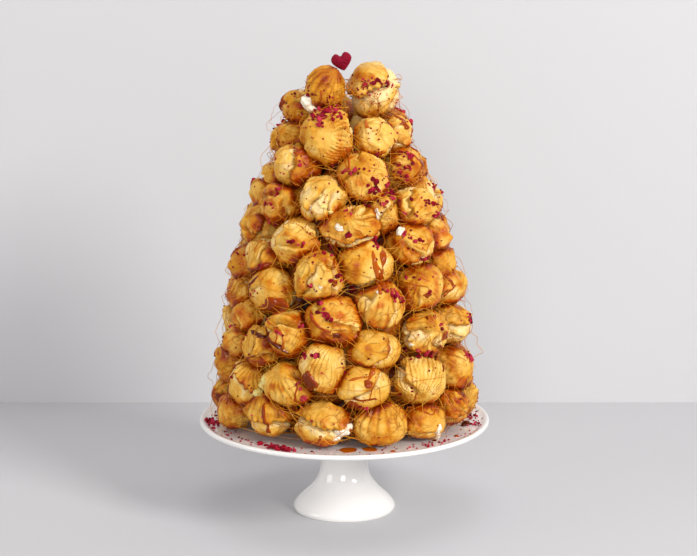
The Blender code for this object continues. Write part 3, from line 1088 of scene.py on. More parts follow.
FORMS: dict[str, dict] = {
    "bun_01_1": known(60, -80, 0.48),
    "bun_01_2": known(60, -20, 0.50, glaze=0.36, lobes=1, lobe_depth=0.04),
    "bun_01_3": known(78, 0, 0.44, ribs=15, rib_depth=0.045, crease=88, crease_depth=0.15, lobes=1),
    "bun_01_4": known(
        72, 12, 0.42, crease=76, crease_depth=0.22, crease_tilt=14, crease_side=-60, ribs=20,
        rib_depth=0.03, lobes=1, ruffle=1.0,
    ),
    "bun_01_5": known(
        80, 2, 0.42, ribs=16, rib_depth=0.085, crease=118, crease_depth=0.05, tip=0.20, tip_width=26,
        lobes=0, twist=0.0, rib_end=92, lumps=0.02, glaze=0.10, uneven=0.2, warp=0.03, crinkle=0.01,
    ),
    "bun_01_6": known(
        88, 6, 0.46, ribs=12, rib_depth=0.045, crease=106, crease_depth=0.06, tip=0.10, rib_end=50, lobes=0,
        glaze=0.32, lumps=0.04, crinkle=0.02,
    ),
    "bun_01_7": known(72, -10, 0.50, ribs=15, rib_depth=0.07, glaze=0.5, seams=(60, 130)),
    "bun_01_8": known(60, 60, 0.40),
    "bun_02_1": known(50, -80, 0.42, lobes=3),
    "bun_02_2": known(
        60, 20, 0.42, ribs=20, rib_depth=0.06, crease=74, crease_depth=0.18, crease_tilt=16,
        crease_side=-40, lobes=0, uneven=0.5, warp=0.06,
    ),
    "bun_02_3": known(62, -10, 0.42, ribs=24, rib_depth=0.05, twist=0.1, crease=100, lobes=1, uneven=0.6),
    "bun_02_4": known(
        80, 30, 0.34, ribs=30, rib_depth=0.05, tip=0.30, tip_width=20, lobes=1, lobe_depth=0.05, twist=0.15,
        crease=112, crease_depth=0.14, rib_end=120, glaze=0.03, uneven=0.6, crinkle=0.03,
    ),
    "bun_02_5": known(
        46, -30, 0.42, ribs=12, rib_depth=0.010, crease=62, crease_depth=0.20, crease_tilt=14,
        crease_side=-110, lobes=0, glaze=0.08, lumps=0.04, crinkle=0.02, warp=0.05,
    ),
    "bun_02_6": known(
        34, 178, 0.28, ribs=34, rib_depth=0.07, twist=0.15, uneven=0.5, seams=(92,), lobe_depth=0.14,
        crease=128, rib_end=135, tip=0.02, glaze=0.0, crinkle=0.02, warp=0.04,
    ),
    "bun_02_7": known(45, 90, 0.46, lobes=3, lobe_depth=0.10, glaze=0.45, ribs=16),
    "bun_03_1": known(60, -80, 0.45),
    "bun_03_2": known(60, -120, 0.38, ribs=18, rib_depth=0.03, seams=(40, 110), lobe_depth=0.13),
    "bun_03_3": known(
        45, 60, 0.42, ribs=22, rib_depth=0.02, glaze=0.30, seams=(140,), lobe_depth=0.22, crease=110,
        crease_depth=0.10,
    ),
    "bun_03_4": known(
        34, -60, 0.44, ribs=10, rib_depth=0.008, crease=58, crease_depth=0.22, crease_tilt=4,
        crease_side=-60, lobes=0, glaze=0.08, lumps=0.03, crinkle=0.015, warp=0.03,
    ),
    "bun_03_5": known(
        44, 60, 0.36, ribs=22, rib_depth=0.045, seams=(60, 120), lobe_depth=0.13, crease=86,
        crease_depth=0.12,
    ),
    "bun_03_6": known(84, 8, 0.38, crease=72, crease_depth=0.15, ribs=14, rib_depth=0.02, shelf=104),
    "bun_04_1": known(60, -60, 0.45, glaze=0.4),
    "bun_04_2": known(60, -90, 0.42, glaze=0.3),
    "bun_04_3": known(
        30, -40, 0.44, ribs=14, rib_depth=0.012, lobes=1, lobe_depth=0.03, glaze=0.22, lumps=0.05,
        crinkle=0.02,
    ),
    "bun_04_4": known(
        44, -70, 0.46, ribs=24, rib_depth=0.055, rib_style=Ribs.SHELL, rib_end=125, rib_side=90,
        rib_spread=190, rib_start=22, crease=125, twist=0.1, glaze=0.40, lobes=2, lobe_depth=0.08,
    ),
    "bun_04_5": known(
        50, 15, 0.40, ribs=18, rib_depth=0.03, lobes=3, lobe_depth=0.07, glaze=0.25, crease=84,
        crease_depth=0.10,
    ),
    "bun_04_6": known(60, 70, 0.34, ribs=14, crease=80, crease_depth=0.12),
    "bun_05_1": known(60, -90, 0.38, glaze=0.25),
    "bun_05_2": known(48, -120, 0.38, glaze=0.2, ribs=20, rib_depth=0.05, crease=84, crease_depth=0.12),
    "bun_05_3": known(
        60, 0, 0.42, ribs=20, rib_depth=0.05, seams=(96, 50), lobe_depth=0.16, twist=0.1, crease=112,
    ),
    "bun_05_4": known(
        34, -70, 0.38, ribs=26, rib_depth=0.03, rib_side=-120, rib_spread=150, rib_start=20, crease=62,
        crease_depth=0.18, crease_tilt=8, crease_side=0, lobes=0, lumps=0.035, glaze=0.08, crinkle=0.015,
        warp=0.05,
    ),
    "bun_05_5": known(
        30, 20, 0.46, ribs=18, rib_depth=0.015, lobes=1, lobe_depth=0.05, glaze=0.30, lumps=0.045,
        crinkle=0.025,
    ),
    "bun_06_1": known(60, -60, 0.44, glaze=0.32, lobes=3),
    "bun_06_2": known(
        56, 120, 0.36, ribs=9, rib_depth=0.13, rib_style=Ribs.SHELL, twist=0.6, lobes=1, crease=118,
        rib_end=115, crinkle=0.05,
    ),
    "bun_06_3": known(
        40, -15, 0.44, ribs=20, rib_depth=0.03, lobes=3, lobe_depth=0.10, glaze=0.3, crease=78,
        crease_depth=0.12,
    ),
    "bun_06_4": known(
        44, -30, 0.40, ribs=18, rib_depth=0.02, lobes=2, lobe_depth=0.08, crease=66, crease_depth=0.16,
        crease_side=90, crinkle=0.03,
    ),
    "bun_06_5": known(70, 90, 0.42, glaze=0.5),
    "bun_07_1": known(
        34, 20, 0.40, ribs=16, rib_depth=0.03, glaze=0.2, tip=0.24, tip_width=18, seams=(170, 100),
        lobe_depth=0.10,
    ),
    "bun_07_2": known(
        40, 45, 0.24, ribs=14, rib_depth=0.02, seams=(60, 150, -60), lobe_depth=0.20, crease=74,
        crease_depth=0.16, glaze=0.0, ruffle=1.0,
    ),
    "bun_07_3": known(
        66, 140, 0.38, ribs=22, rib_depth=0.07, rib_style=Ribs.SHELL, rib_end=120, lobes=1, twist=0.4,
    ),
    "bun_07_4": known(
        56, -120, 0.30, ribs=26, rib_depth=0.055, rib_style=Ribs.SHELL, rib_end=110, crease=128, twist=0.3,
        glaze=0.05, lobes=1, uneven=0.9, rib_side=60, rib_spread=170,
    ),
    "bun_08_1": known(70, -80, 0.42),
    "bun_08_2": known(
        80, 85, 0.44, ribs=16, rib_depth=0.04, tip=0.26, tip_width=20, lobes=1, lobe_depth=0.05, crease=84,
        crease_depth=0.10, lumps=0.04, glaze=0.22, rib_end=70,
    ),
    "bun_08_3": known(34, 0, 0.42, ribs=18, rib_depth=0.02, lobes=2, lobe_depth=0.07, glaze=0.26),
    "bun_08_4": known(50, 70, 0.42, ribs=20, rib_depth=0.04, glaze=0.4, crease=86),
    "bun_09_1": known(50, -45, 0.44, glaze=0.30, lobes=3),
    "bun_09_2": known(
        50, -80, 0.34, ribs=40, rib_depth=0.07, rib_side=75, rib_spread=120, rib_start=48, rib_end=112,
        uneven=0.5, crease=118, crease_depth=0.08, lobes=1, lobe_depth=0.06, twist=0.1, crinkle=0.03,
        glaze=0.1,
    ),
    "bun_09_3": known(
        60, -30, 0.34, ribs=11, rib_depth=0.035, lobes=2, lobe_depth=0.12, glaze=0.05, rib_end=80,
    ),
    "bun_09_4": known(60, 60, 0.38, lobes=3, lobe_depth=0.12, glaze=0.3),
    "bun_10_1": known(34, -60, 0.48, ribs=14, rib_depth=0.03, glaze=0.3),
    "bun_10_2": known(
        62, 40, 0.60, ribs=15, rib_depth=0.06, rib_end=100, tip=0.12, tip_width=22, twist=0.1, crease=128,
        crease_depth=0.03, lobes=0, lumps=0.03, glaze=0.24, crinkle=0.015, uneven=0.6, warp=0.05,
    ),
    "bun_10_3": known(
        56, -34, 0.26, ribs=16, rib_depth=0.012, crease=58, crease_depth=0.15, crease_tilt=10,
        crease_side=-70, tip=0.03, lobes=0, glaze=0.12, ruffle=0.9, shelf=108,
    ),
}


@dataclass
class Tower:
    """All the buns of the tower: the named ones and those that close its back."""

    outline: TowerOutline = field(default_factory=TowerOutline)
    levels: tuple[float, ...] = (20, 60, 100, 138, 170, 200, 231, 261, 295, 335)
    back_widths: tuple[float, float] = (49.0, 56.0)
    back_pitch: float = 44.0
    back_seed: int = 43
    back_jitter: float = 0.8
    back_staggers: tuple[float, ...] = (0.0, 0.1, -0.1, 0.2, -0.2, 0.3, -0.3)
    back_sink: float = 0.95
    back_lift: float = 5.0
    spare_draws: int = 2
    top_back_drop: float = 18.0
    back_shrink: float = 0.95
    front_span: float = 64.0
    front_cells: int = 46
    side_cells: int = 32
    back_cells: int = 21
    touch: float = -1.5
    places: list[Place] = field(default_factory=list)
    buns: list[Piece] = field(default_factory=list)

    def lay_out(self) -> None:
        """Find every bun's place: the named ones from their nodes, the rest by the rows' rule."""
        named = sorted(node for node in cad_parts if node.startswith("bun_"))
        self.places = [Place.of_node(node) for node in named]
        dice = random.Random(self.back_seed)
        below: list[float] = []
        for number, level in enumerate(self.levels, start=1):
            row = [round(p.azimuth) for p in self.places if p.node.startswith(f"bun_{number:02d}_")]
            lower = number - (number - 1) % 2
            node = f"back_buns_{lower:02d}_{lower + 1:02d}"
            behind = self.back_row(node, level, row, below, dice)
            self.places.extend(behind)
            below = [p.azimuth % 360.0 for p in behind] + row + [turn + 360.0 for turn in row]

    def staggered(self, start: float, span: float, gaps: int, below: list[float]) -> list[float]:
        """Azimuths of a row's unnamed buns, turned so that they rest over the gaps of the row below.

        Args:
            start: azimuth of the last named bun on one side.
            span: degrees from there round the back.
            gaps: how many steps the span has.
            below: azimuths of the row below.

        Returns:
            The azimuths.
        """
        best, most = [], -1.0
        for stagger in self.back_staggers:
            swung = [step + stagger * math.sin(math.pi * step / gaps) for step in range(1, gaps)]
            spots = [start + span * step / gaps for step in swung]
            room = sum(min(abs(spot - other) for other in below) for spot in spots) if below else 0.0
            if room > most:
                best, most = spots, room
        return best

    def back_row(
        self, node: str, level: float, row: list[int], below: list[float], dice: random.Random
    ) -> list[Place]:
        """Spread the unnamed buns of a row round the back, where the CAD's own draws put them.

        Args:
            node: the CAD node that they belong to.
            level: the row's height above the plate.
            row: azimuths of the row's named buns.
            below: azimuths of the buns of the row below.
            dice: the source of their small differences.

        Returns:
            Their places.
        """
        start, span = max(row), 360.0 - max(row) + min(row)
        ring = self.outline.radius(self.outline.plate_top + level)
        ring -= self.back_sink * sum(self.back_widths) / 4.0
        gaps = max(2, round(math.radians(span) * ring / self.back_pitch))
        places = []
        for step, azimuth in enumerate(self.staggered(start, span, gaps, below)):
            width = dice.uniform(*self.back_widths)
            height = width * dice.uniform(0.88, 1.04)
            lift = dice.uniform(-4.0, 4.0) + (self.back_lift if step % 2 else -self.back_lift)
            lift -= self.top_back_drop if level == self.levels[-1] else 0.0
            for _ in range(self.spare_draws):
                dice.random()
            azimuth += dice.uniform(-self.back_jitter, self.back_jitter)
            middle = self.outline.plate_top + level + lift
            axes = Place.axes_at(math.radians(azimuth))
            reach = self.outline.radius(middle) - self.back_sink * width / 2.0
            centre = reach * axes[:, 1] + middle * UP
            depth = self.back_sink * (width + height) / 4.0
            half = self.back_shrink * np.array((width / 2.0, depth, height / 2.0))
            places.append(Place(node, centre, half, axes))
        return places

    def pressed_on(self, place: Place) -> list[tuple[Array, float]]:
        """The flat contacts of one bun with its neighbours and the plate.

        Args:
            place: the bun.

        Returns:
            Each contact's outward normal and its distance from the origin.
        """
        contacts = [(-UP, -self.outline.plate_top)]
        for other in self.places:
            between = other.centre - place.centre
            apart = float(np.linalg.norm(between))
            if 0.0 < apart < 1.35 * (place.radius + other.radius):
                normal = between / apart
                reach = (apart**2 + place.radius**2 - other.radius**2) / (2.0 * apart)
                contacts.append((normal, float(normal @ place.centre) + reach - self.touch))
        return contacts

    def form_of(self, place: Place, number: int) -> BunForm:
        """The form of a bun: its own where it has one, and a seeded mix otherwise.

        Args:
            place: where the bun is.
            number: the bun's number, which seeds the mix.

        Returns:
            The form.
        """
        dice = random.Random(1000 + number)
        form = BunForm(
            lean=dice.uniform(20, 80),
            turn=dice.uniform(-160, 160),
            tone=dice.uniform(0.28, 0.50),
            ribs=dice.randint(13, 30),
            rib_depth=dice.uniform(0.02, 0.07),
            rib_style=dice.choice(list(Ribs)),
            twist=dice.uniform(-0.2, 0.6),
            lobes=dice.randint(0, 3),
            lobe_depth=dice.uniform(0.04, 0.14),
            crease=dice.uniform(60, 120),
            crease_depth=dice.uniform(0.07, 0.18),
            crease_side=dice.uniform(-180, 180),
            tip=dice.uniform(0.02, 0.22),
            glaze=dice.uniform(0.05, 0.42),
            lumps=dice.uniform(0.05, 0.10),
        )
        for key, value in FORMS.get(place.node, {}).items():
            setattr(form, key, value)
        return form

    def build(self) -> None:
        """Make every bun: named ones as pieces of their own, the back's joined as their nodes are."""
        crust = BakedChoux().make()
        groups: dict[str, list[Piece]] = {}
        for number, place in enumerate(self.places):
            cells = self.front_cells if abs(place.azimuth) < self.front_span else self.side_cells
            if not place.node.startswith("bun_"):
                cells = self.back_cells
            bun = ChouxBun(place, self.form_of(place, number), number, cells, self.pressed_on(place))
            groups.setdefault(place.node, []).append(bun.build(f"choux_{number:03d}"))
        for node, members in groups.items():
            piece = join(members, node.replace("bun_", "choux_bun_").replace("back_buns", "choux_back"))
            finish_piece(piece, crust, "choux", node)
            self.buns.append(piece)


# ---------------------------------------------------------------- finding the surface


class Surface:
    """The outside of the finished buns, found with straight rays toward the axis."""

    REACH = 200.0
    AROUND = 360
    STEP = 2.0
    LOW = 98.0
    LEVELS = 186

    def __init__(self, pieces: list[Piece]) -> None:
        """Gather the pieces' faces into one search tree and survey the tower's outside.

        Args:
            pieces: the finished buns, the core and the stand.
        """
        points: list = []
        faces: list = []
        for piece in pieces:
            start = len(points)
            points.extend((points_of(piece) / MM).tolist())
            faces.extend([start + at for at in face] for face in faces_of(piece))
        self.tree = BVHTree.FromPolygons(points, faces)
        self.map = np.zeros((self.AROUND, self.LEVELS))
        for turn in range(self.AROUND):
            for level in range(self.LEVELS):
                found = self.inward(turn, self.LOW + level * self.STEP)
                self.map[turn, level] = math.hypot(found[0][0], found[0][1]) if found else 0.0

    def inward(self, azimuth: float, height: float) -> tuple[Array, Array] | None:
        """Hit the tower from outside.

        Args:
            azimuth: degrees round the tower from the front.
            height: millimetres above the table.

        Returns:
            The point and its outward normal, or None where the ray misses.
        """
        angle = math.radians(azimuth)
        x, y = math.sin(angle), -math.cos(angle)
        place, normal, _, _ = self.tree.ray_cast(
            Vector((x * self.REACH, y * self.REACH, height)), Vector((-x, -y, 0.0)), self.REACH
        )
        if place is None:
            return None
        normal = np.array(normal)
        if normal[0] * x + normal[1] * y < 0.0:
            normal = -normal
        return np.array(place), normal

    def radius(self, azimuth: Array | float, height: Array | float) -> Array:
        """Surveyed radius of the outside, between the survey's rays.

        Args:
            azimuth: degrees round the tower.
            height: height above the foot.

        Returns:
            The radius for each pair.
        """
        turn = np.asarray(azimuth) % self.AROUND
        level = np.clip((np.asarray(height) - self.LOW) / self.STEP, 0.0, self.LEVELS - 1.001)
        t0, l0 = np.floor(turn).astype(int) % self.AROUND, np.floor(level).astype(int)
        t1, l1 = (t0 + 1) % self.AROUND, l0 + 1
        ft, fl = turn - np.floor(turn), level - l0
        low = self.map[t0, l0] * (1 - ft) + self.map[t1, l0] * ft
        high = self.map[t0, l1] * (1 - ft) + self.map[t1, l1] * ft
        return low * (1 - fl) + high * fl


def round_tower(
    azimuth: Array | float, height: Array | float, radius: Array | float
) -> Array:
    """Points from azimuths in degrees, heights and radii."""
    angle = np.radians(azimuth)
    return np.stack((radius * np.sin(angle), -radius * np.cos(angle), height), axis=-1)


class Heap:
    """Collects many small closed shapes into one mesh, with one painted value."""

    def __init__(self) -> None:
        """Start empty."""
        self.points: list[Array] = []
        self.faces: list[list[int]] = []
        self.values: list[Array] = []
        self.count = 0

    def add(self, points: Array, faces: list, values: Array | float = 0.0) -> None:
        """Add one shape.

        Args:
            points: its vertices in millimetres.
            faces: its faces as vertex numbers.
            values: the painted value, one for all or one for each vertex.
        """
        self.faces.extend([[at + self.count for at in face] for face in faces])
        self.points.append(points)
        self.values.append(np.broadcast_to(values, (len(points),)))
        self.count += len(points)

    def tube(self, path: Array, radius: Array | float, sides: int = 3) -> None:
        """Add a thin closed tube.

        Args:
            path: its centre line.
            radius: its radius, one for all or one for each point of the path.
            sides: number of sides.
        """
        along = np.gradient(path, axis=0)
        along /= np.linalg.norm(along, axis=1)[:, None] + 1e-9
        first = np.cross(along, UP + 0.01)
        first /= np.linalg.norm(first, axis=1)[:, None] + 1e-9
        second = np.cross(along, first)
        radius = np.broadcast_to(radius, (len(path),))[:, None]
        rings = []
        for side in range(sides):
            angle = 2.0 * math.pi * side / sides
            rings.append(path + radius * (math.cos(angle) * first + math.sin(angle) * second))
        points = np.stack(rings, axis=1).reshape(-1, 3)
        faces = [list(range(sides))[::-1], [(len(path) - 1) * sides + side for side in range(sides)]]
        for step in range(len(path) - 1):
            for side in range(sides):
                after = (side + 1) % sides
                low = step * sides
                faces.append([low + side, low + after, low + sides + after, low + sides + side])
        self.add(points, faces)

    def build(self, name: str, value_name: str) -> Piece:
        """Make the mesh object.

        Args:
            name: the object's name.
            value_name: the attribute that holds the values.

        Returns:
            The new object.
        """
        mesh = bpy.data.meshes.new(name)
        mesh.from_pydata((np.concatenate(self.points) * MM).tolist(), [], self.faces)
        mesh.update()
        piece = bpy.data.objects.new(name, mesh)
        bpy.context.scene.collection.objects.link(piece)
        paint(piece, value_name, np.concatenate(self.values))
        clear_selection()
        piece.select_set(True)
        bpy.context.view_layer.objects.active = piece
        bpy.ops.object.mode_set(mode="EDIT")
        bpy.ops.mesh.select_all(action="SELECT")
        bpy.ops.mesh.normals_make_consistent(inside=False)
        bpy.ops.object.mode_set(mode="OBJECT")
        piece.data.shade_smooth()
        return piece


# ---------------------------------------------------------------- caramel


@dataclass(frozen=True)
class Run:
    """Caramel that ran down the crust: where it went, as (azimuth, height), and how thick it set."""

    path: tuple[tuple[float, float], ...]
    width: float
    thickness: float = 1.0
    depth: float = 0.5
    bead: float = 0.0


@dataclass(frozen=True)
class Puddle:
    """A patch of set caramel: its middle as (azimuth, height), its size, and its slant in degrees."""

    at: tuple[float, float]
    width: float
    height: float
    thickness: float = 1.4
    depth: float = 0.8
    slant: float = 0.0


@dataclass(frozen=True)
class Bead:
    """A round drop of caramel."""

    at: tuple[float, float]
    radius: float
    depth: float = 1.0


RUNS = (
    Run(((-49, 208), (-44, 206), (-39, 204), (-33, 202), (-28, 199)), 5.5, 1.8, 1.0),
    Run(((-37, 221), (-33, 217), (-28, 211), (-27, 203), (-29, 192)), 4.5, 0.9, 0.35),
    Run(((-33, 217), (-30, 208), (-32, 199)), 2.4, 0.8, 0.4),
    Run(((-41, 187), (-48, 181), (-55, 172), (-60, 160), (-62, 148), (-64, 136), (-63, 127)), 2.6, 1.1, 0.75),
    Run(((-20, 163), (-21, 155), (-22, 145)), 3.0, 0.9, 0.55, 1.4),
    Run(((15, 180), (12, 175), (10, 167)), 6.0, 1.0, 0.35),
    Run(((2, 168), (6, 171), (11, 172)), 3.2, 0.8, 0.3),
    Run(((13, 166), (12, 158), (11, 149)), 1.8, 0.7, 0.4),
    Run(((-37, 140), (-36, 132), (-35, 122), (-35, 110)), 5.2, 1.9, 0.75, 2.6),
    Run(((-24, 140), (-25, 130), (-26, 118), (-27, 107)), 8.0, 2.4, 0.9, 3.2),
    Run(((-52, 134), (-53, 124), (-54, 112)), 7.0, 2.2, 0.85, 3.0),
    Run(((27, 127), (31, 131), (35, 133), (38, 130), (41, 126), (44, 131), (47, 134)), 2.2, 0.9, 0.45),
    Run(((48, 194), (54, 184), (53, 174), (50, 166)), 5.0, 1.2, 0.75),
    Run(((49, 143), (55, 132), (57, 122)), 4.0, 1.2, 0.8),
    Run(((-17, 234), (-15, 227), (-11, 219), (-6, 215)), 5.0, 1.0, 0.5),
    Run(((72, 255), (70, 247), (69, 239), (66, 230)), 4.0, 1.2, 0.6),
    Run(((15, 292), (15, 284), (16, 274), (17, 262), (17, 251)), 5.6, 1.8, 0.35, 1.2),
    Run(((-38, 207), (-34, 203), (-30, 198), (-26, 191)), 5.0, 2.2, 1.0),
    Run(((21, 293), (20, 287), (20, 276), (19, 264), (20, 253)), 7.0, 2.0, 0.45, 1.5),
    Run(((15, 282), (18, 274), (22, 262)), 3.0, 1.2, 0.3),
    Run(((-47, 262), (-50, 256), (-54, 248), (-56, 242)), 4.0, 1.2, 1.0),
    Run(((40, 396), (43, 388), (47, 380)), 3.0, 1.0, 0.5),
    Run(((62, 376), (61, 366)), 3.0, 0.9, 0.55),
    Run(((24, 226), (25, 214), (24, 206)), 2.2, 0.7, 0.3),
    Run(((30, 262), (36, 256), (44, 252)), 1.8, 0.7, 0.4),
    Run(((-20, 300), (-14, 304), (-8, 303)), 2.0, 0.8, 0.45),
    Run(((-42, 330), (-44, 322), (-43, 312)), 2.4, 0.8, 0.4),
    Run(((2, 150), (8, 148), (14, 150)), 3.0, 1.0, 0.7),
)
PUDDLES = (
    Puddle((-38, 234), 30.0, 17.0, 2.6, 0.7, -6.0),
    Puddle((-15, 168), 16.0, 22.0, 2.6, 0.8, -35.0),
    Puddle((10, 166), 10.0, 10.0, 1.6, 0.6),
    Puddle((-3, 212), 12.0, 7.0, 1.8, 0.9),
    Puddle((4, 141), 15.0, 12.0, 1.6, 0.75),
    Puddle((-58, 356), 8.0, 8.0, 1.0, 0.6),
    Puddle((30, 346), 9.0, 6.0, 1.0, 0.6),
    Puddle((44, 244), 10.0, 7.0, 1.2, 0.7),
)
BEADS = (
    Bead((6, 134), 3.6),
    Bead((3, 126), 2.4),
    Bead((49, 178), 1.6, 0.6),
    Bead((43, 222), 1.7, 0.7),
)


class Skin:
    """A thin closed skin of caramel on the crust: its top, its underside and its depth."""

    LEAST = 0.05

    def __init__(self, sunk: float) -> None:
        """Start empty; the underside will lie sunk millimetres in the crust.

        Args:
            sunk: how far the underside lies in the crust.
        """
        self.sunk = sunk
        self.tops: list[Array] = []
        self.unders: list[Array] = []
        self.depths: list[float] = []

    def add(
        self, found: tuple[Array, Array], near: float, far: float, rise: float, depth: float
    ) -> None:
        """Add one spot.

        Args:
            found: the crust's point and normal there.
            near: least distance from the tower's axis.
            far: greatest distance from the tower's axis.
            rise: how far the top stands off the crust.
            depth: the painted depth.
        """
        place, normal = found
        reach = float(np.hypot(place[0], place[1]))
        held = min(max(reach, near), far)
        place = place * np.array((held / reach, held / reach, 1.0))
        self.tops.append(place + normal * (rise - self.LEAST))
        self.unders.append(place - normal * self.sunk)
        self.depths.append(depth)

    def close(self, heap: Heap, sheet: list[list[int]], edge: list[int]) -> None:
        """Close the skin and put it on the heap.

        Args:
            heap: what collects the caramel.
            sheet: the top's faces.
            edge: the spots along its edge, in order.
        """
        lower = len(self.tops)
        faces = sheet + [[lower + at for at in reversed(face)] for face in sheet]
        faces += [[a, lower + a, lower + b, b] for a, b in zip(edge, edge[1:] + edge[:1])]
        heap.add(np.array(self.tops + self.unders), faces, np.array(self.depths * 2))


@dataclass
class Caramel:
    """Caramel runs, puddles and beads laid over the buns, and lumps of it on the plate."""

    surface: Surface
    outline: TowerOutline
    across: int = 7
    rings: int = 6
    spokes: int = 26
    spacing: float = 1.5
    sunk: float = 0.7
    lowest: float = 99.5
    scattered: int = 120
    scatter_seed: int = 77
    lumps: int = 15
    lump_seed: int = 5
    heap: Heap = field(default_factory=Heap)

    def build(self) -> None:
        """Lay all the caramel and make it one piece."""
        for run in RUNS:
            self.lay_run(run)
        for puddle in PUDDLES:
            self.lay_puddle(puddle)
        for bead in BEADS:
            self.lay_bead(bead)
        dice = random.Random(self.scatter_seed)
        for _ in range(self.scattered):
            self.scatter(dice)
        self.lay_plate_lumps()
        finish_piece(self.heap.build("caramel_runs", "depth"), HardCaramel().make(), "caramel")

    def scatter(self, dice: random.Random) -> None:
        """Lay one run or puddle at a random place, fewer of them at the front.

        Args:
            dice: the random numbers to draw from.
        """
        height = self.outline.plate_top + 350.0 * dice.random() ** 1.4 + 12.0
        azimuth = dice.uniform(-180.0, 180.0)
        if abs(azimuth) < 50.0 and dice.random() < 0.5:
            return
        if dice.random() < 0.72:
            drift, length = dice.uniform(-4.0, 4.0), dice.uniform(8.0, 26.0)
            parts = (0.0, 1.0 / 3.0, 2.0 / 3.0, 1.0)
            path = tuple((azimuth + drift * k + dice.uniform(-1, 1), height - length * k) for k in parts)
            width, thickness, depth = dice.uniform(1.6, 4.2), dice.uniform(0.6, 1.2), dice.uniform(0.2, 0.9)
            self.lay_run(Run(path, width, thickness, depth, dice.choice((0, 1.4, 2.0))))
            return
        size = dice.uniform(6.0, 14.0)
        high, depth, slant = size * dice.uniform(0.5, 1.0), dice.uniform(0.4, 0.9), dice.uniform(-60, 60)
        self.lay_puddle(Puddle((azimuth, height), size, high, 1.2, depth, slant))

    def per_degree(self, azimuth: float, height: float) -> float:
        """Millimetres along the crust for each degree round the tower."""
        return math.radians(1.0) * max(float(self.surface.radius(azimuth, height)), 20.0)

    def lay_run(self, run: Run) -> None:
        """Lay one run as a closed ribbon that follows the crust.

        Args:
            run: its path and sizes.
        """
        per_degree = self.per_degree(*run.path[0])
        flat = np.array(run.path, float) * (per_degree, 1.0)
        steps = np.concatenate(([0.0], np.cumsum(np.linalg.norm(np.diff(flat, axis=0), axis=1))))
        count = max(4, int(steps[-1] / self.spacing))
        spots = np.linspace(0, steps[-1], count)
        line = np.stack([np.interp(spots, steps, flat[:, k]) for k in (0, 1)], axis=1)
        for _ in range(3):
            line[1:-1] = (line[:-2] + 2.0 * line[1:-1] + line[2:]) / 4.0
        way = np.gradient(line, axis=0)
        way /= np.linalg.norm(way, axis=1)[:, None] + 1e-9
        beside = np.stack((way[:, 1], -way[:, 0]), axis=1)
        seed = run.path[0][0] * 0.37 + run.path[0][1] * 0.11
        wander = NOISE.at(np.column_stack((line / 5.0, np.full(count, seed))))
        part = np.linspace(0.0, 1.0, count)
        width = run.width / 2.0 * (0.85 + 0.45 * wander) * np.clip(part * 8.0, 0.35, 1.0)
        width *= 1.0 - 0.45 * part
        if run.bead:
            width += run.bead * 0.5 * bell(part, 0.94, 0.10)
        lanes = np.linspace(-1.0, 1.0, self.across)
        skin = Skin(self.sunk)
        last = None
        for step in range(count):
            row = []
            for lane in lanes:
                spot = line[step] + beside[step] * lane * width[step]
                row.append(self.surface.inward(spot[0] / per_degree, max(spot[1], self.lowest)))
            known = [item for item in row if item is not None]
            if not known:
                continue
            middle = float(np.median([np.hypot(*item[0][:2]) for item in known]))
            last = middle if last is None or middle > last else 0.5 * last + 0.5 * max(middle, last - 3.0)
            end = math.sqrt(max(0.0, 1.0 - abs(2.0 * part[step] - 1.0) ** 6))
            drop = run.bead * 0.5 * float(bell(part[step], 0.94, 0.08))
            for lane, item in zip(lanes, row):
                arch = math.sqrt(max(0.0, 1.0 - lane * lane))
                rise, depth = (run.thickness * end + drop) * arch, run.depth * (0.35 + 0.65 * arch)
                skin.add(item or known[0], last - 1.5, last + 2.5, rise, depth)
        rows = len(skin.tops) // self.across
        if rows < 2:
            return
        grid = np.arange(rows * self.across).reshape(rows, self.across)
        sheet = np.stack((grid[:-1, :-1], grid[:-1, 1:], grid[1:, 1:], grid[1:, :-1]), axis=-1)
        edge = [*grid[0, :-1], *grid[:-1, -1], *grid[-1, :0:-1], *grid[:0:-1, 0]]
        skin.close(self.heap, sheet.reshape(-1, 4).tolist(), [int(at) for at in edge])

    def lay_puddle(self, puddle: Puddle) -> None:
        """Lay one patch as a closed lens that follows the crust.

        Args:
            puddle: its place and sizes.
        """
        azimuth, height = puddle.at
        per_degree = self.per_degree(azimuth, height)
        slant = math.radians(puddle.slant)
        centre = self.surface.inward(azimuth, height)
        if centre is None:
            return
        skin = Skin(self.sunk)
        skin.add(centre, 0.0, math.inf, puddle.thickness + skin.LEAST, puddle.depth)
        middle = float(np.hypot(centre[0][0], centre[0][1]))
        for ring in range(1, self.rings + 1):
            reach = ring / self.rings
            for spoke in range(self.spokes):
                angle = 2.0 * math.pi * spoke / self.spokes
                c, s = math.cos(angle), math.sin(angle)
                wave = float(NOISE.at(np.array([[1.6 * c, 1.6 * s, azimuth * 0.37]]))[0])
                size = reach * (0.88 + 0.40 * wave)
                x, z = c * puddle.width / 2.0 * size, s * puddle.height / 2.0 * size
                across = x * math.cos(slant) + z * math.sin(slant)
                rise = -x * math.sin(slant) + z * math.cos(slant)
                found = self.surface.inward(azimuth + across / per_degree, height + rise) or centre
                swell = math.sqrt(max(0.0, 1.0 - reach**3))
                depth = puddle.depth * (0.45 + 0.55 * swell)
                skin.add(found, middle - 5.0, middle + 4.0, puddle.thickness * swell, depth)
        grid = 1 + np.arange(self.rings * self.spokes).reshape(self.rings, self.spokes)
        after = np.roll(grid, -1, axis=1)
        sheet = [[0, int(a), int(b)] for a, b in zip(grid[0], after[0])]
        sheet += np.stack((grid[:-1], grid[1:], after[1:], after[:-1]), axis=-1).reshape(-1, 4).tolist()
        skin.close(self.heap, sheet, grid[-1].tolist())

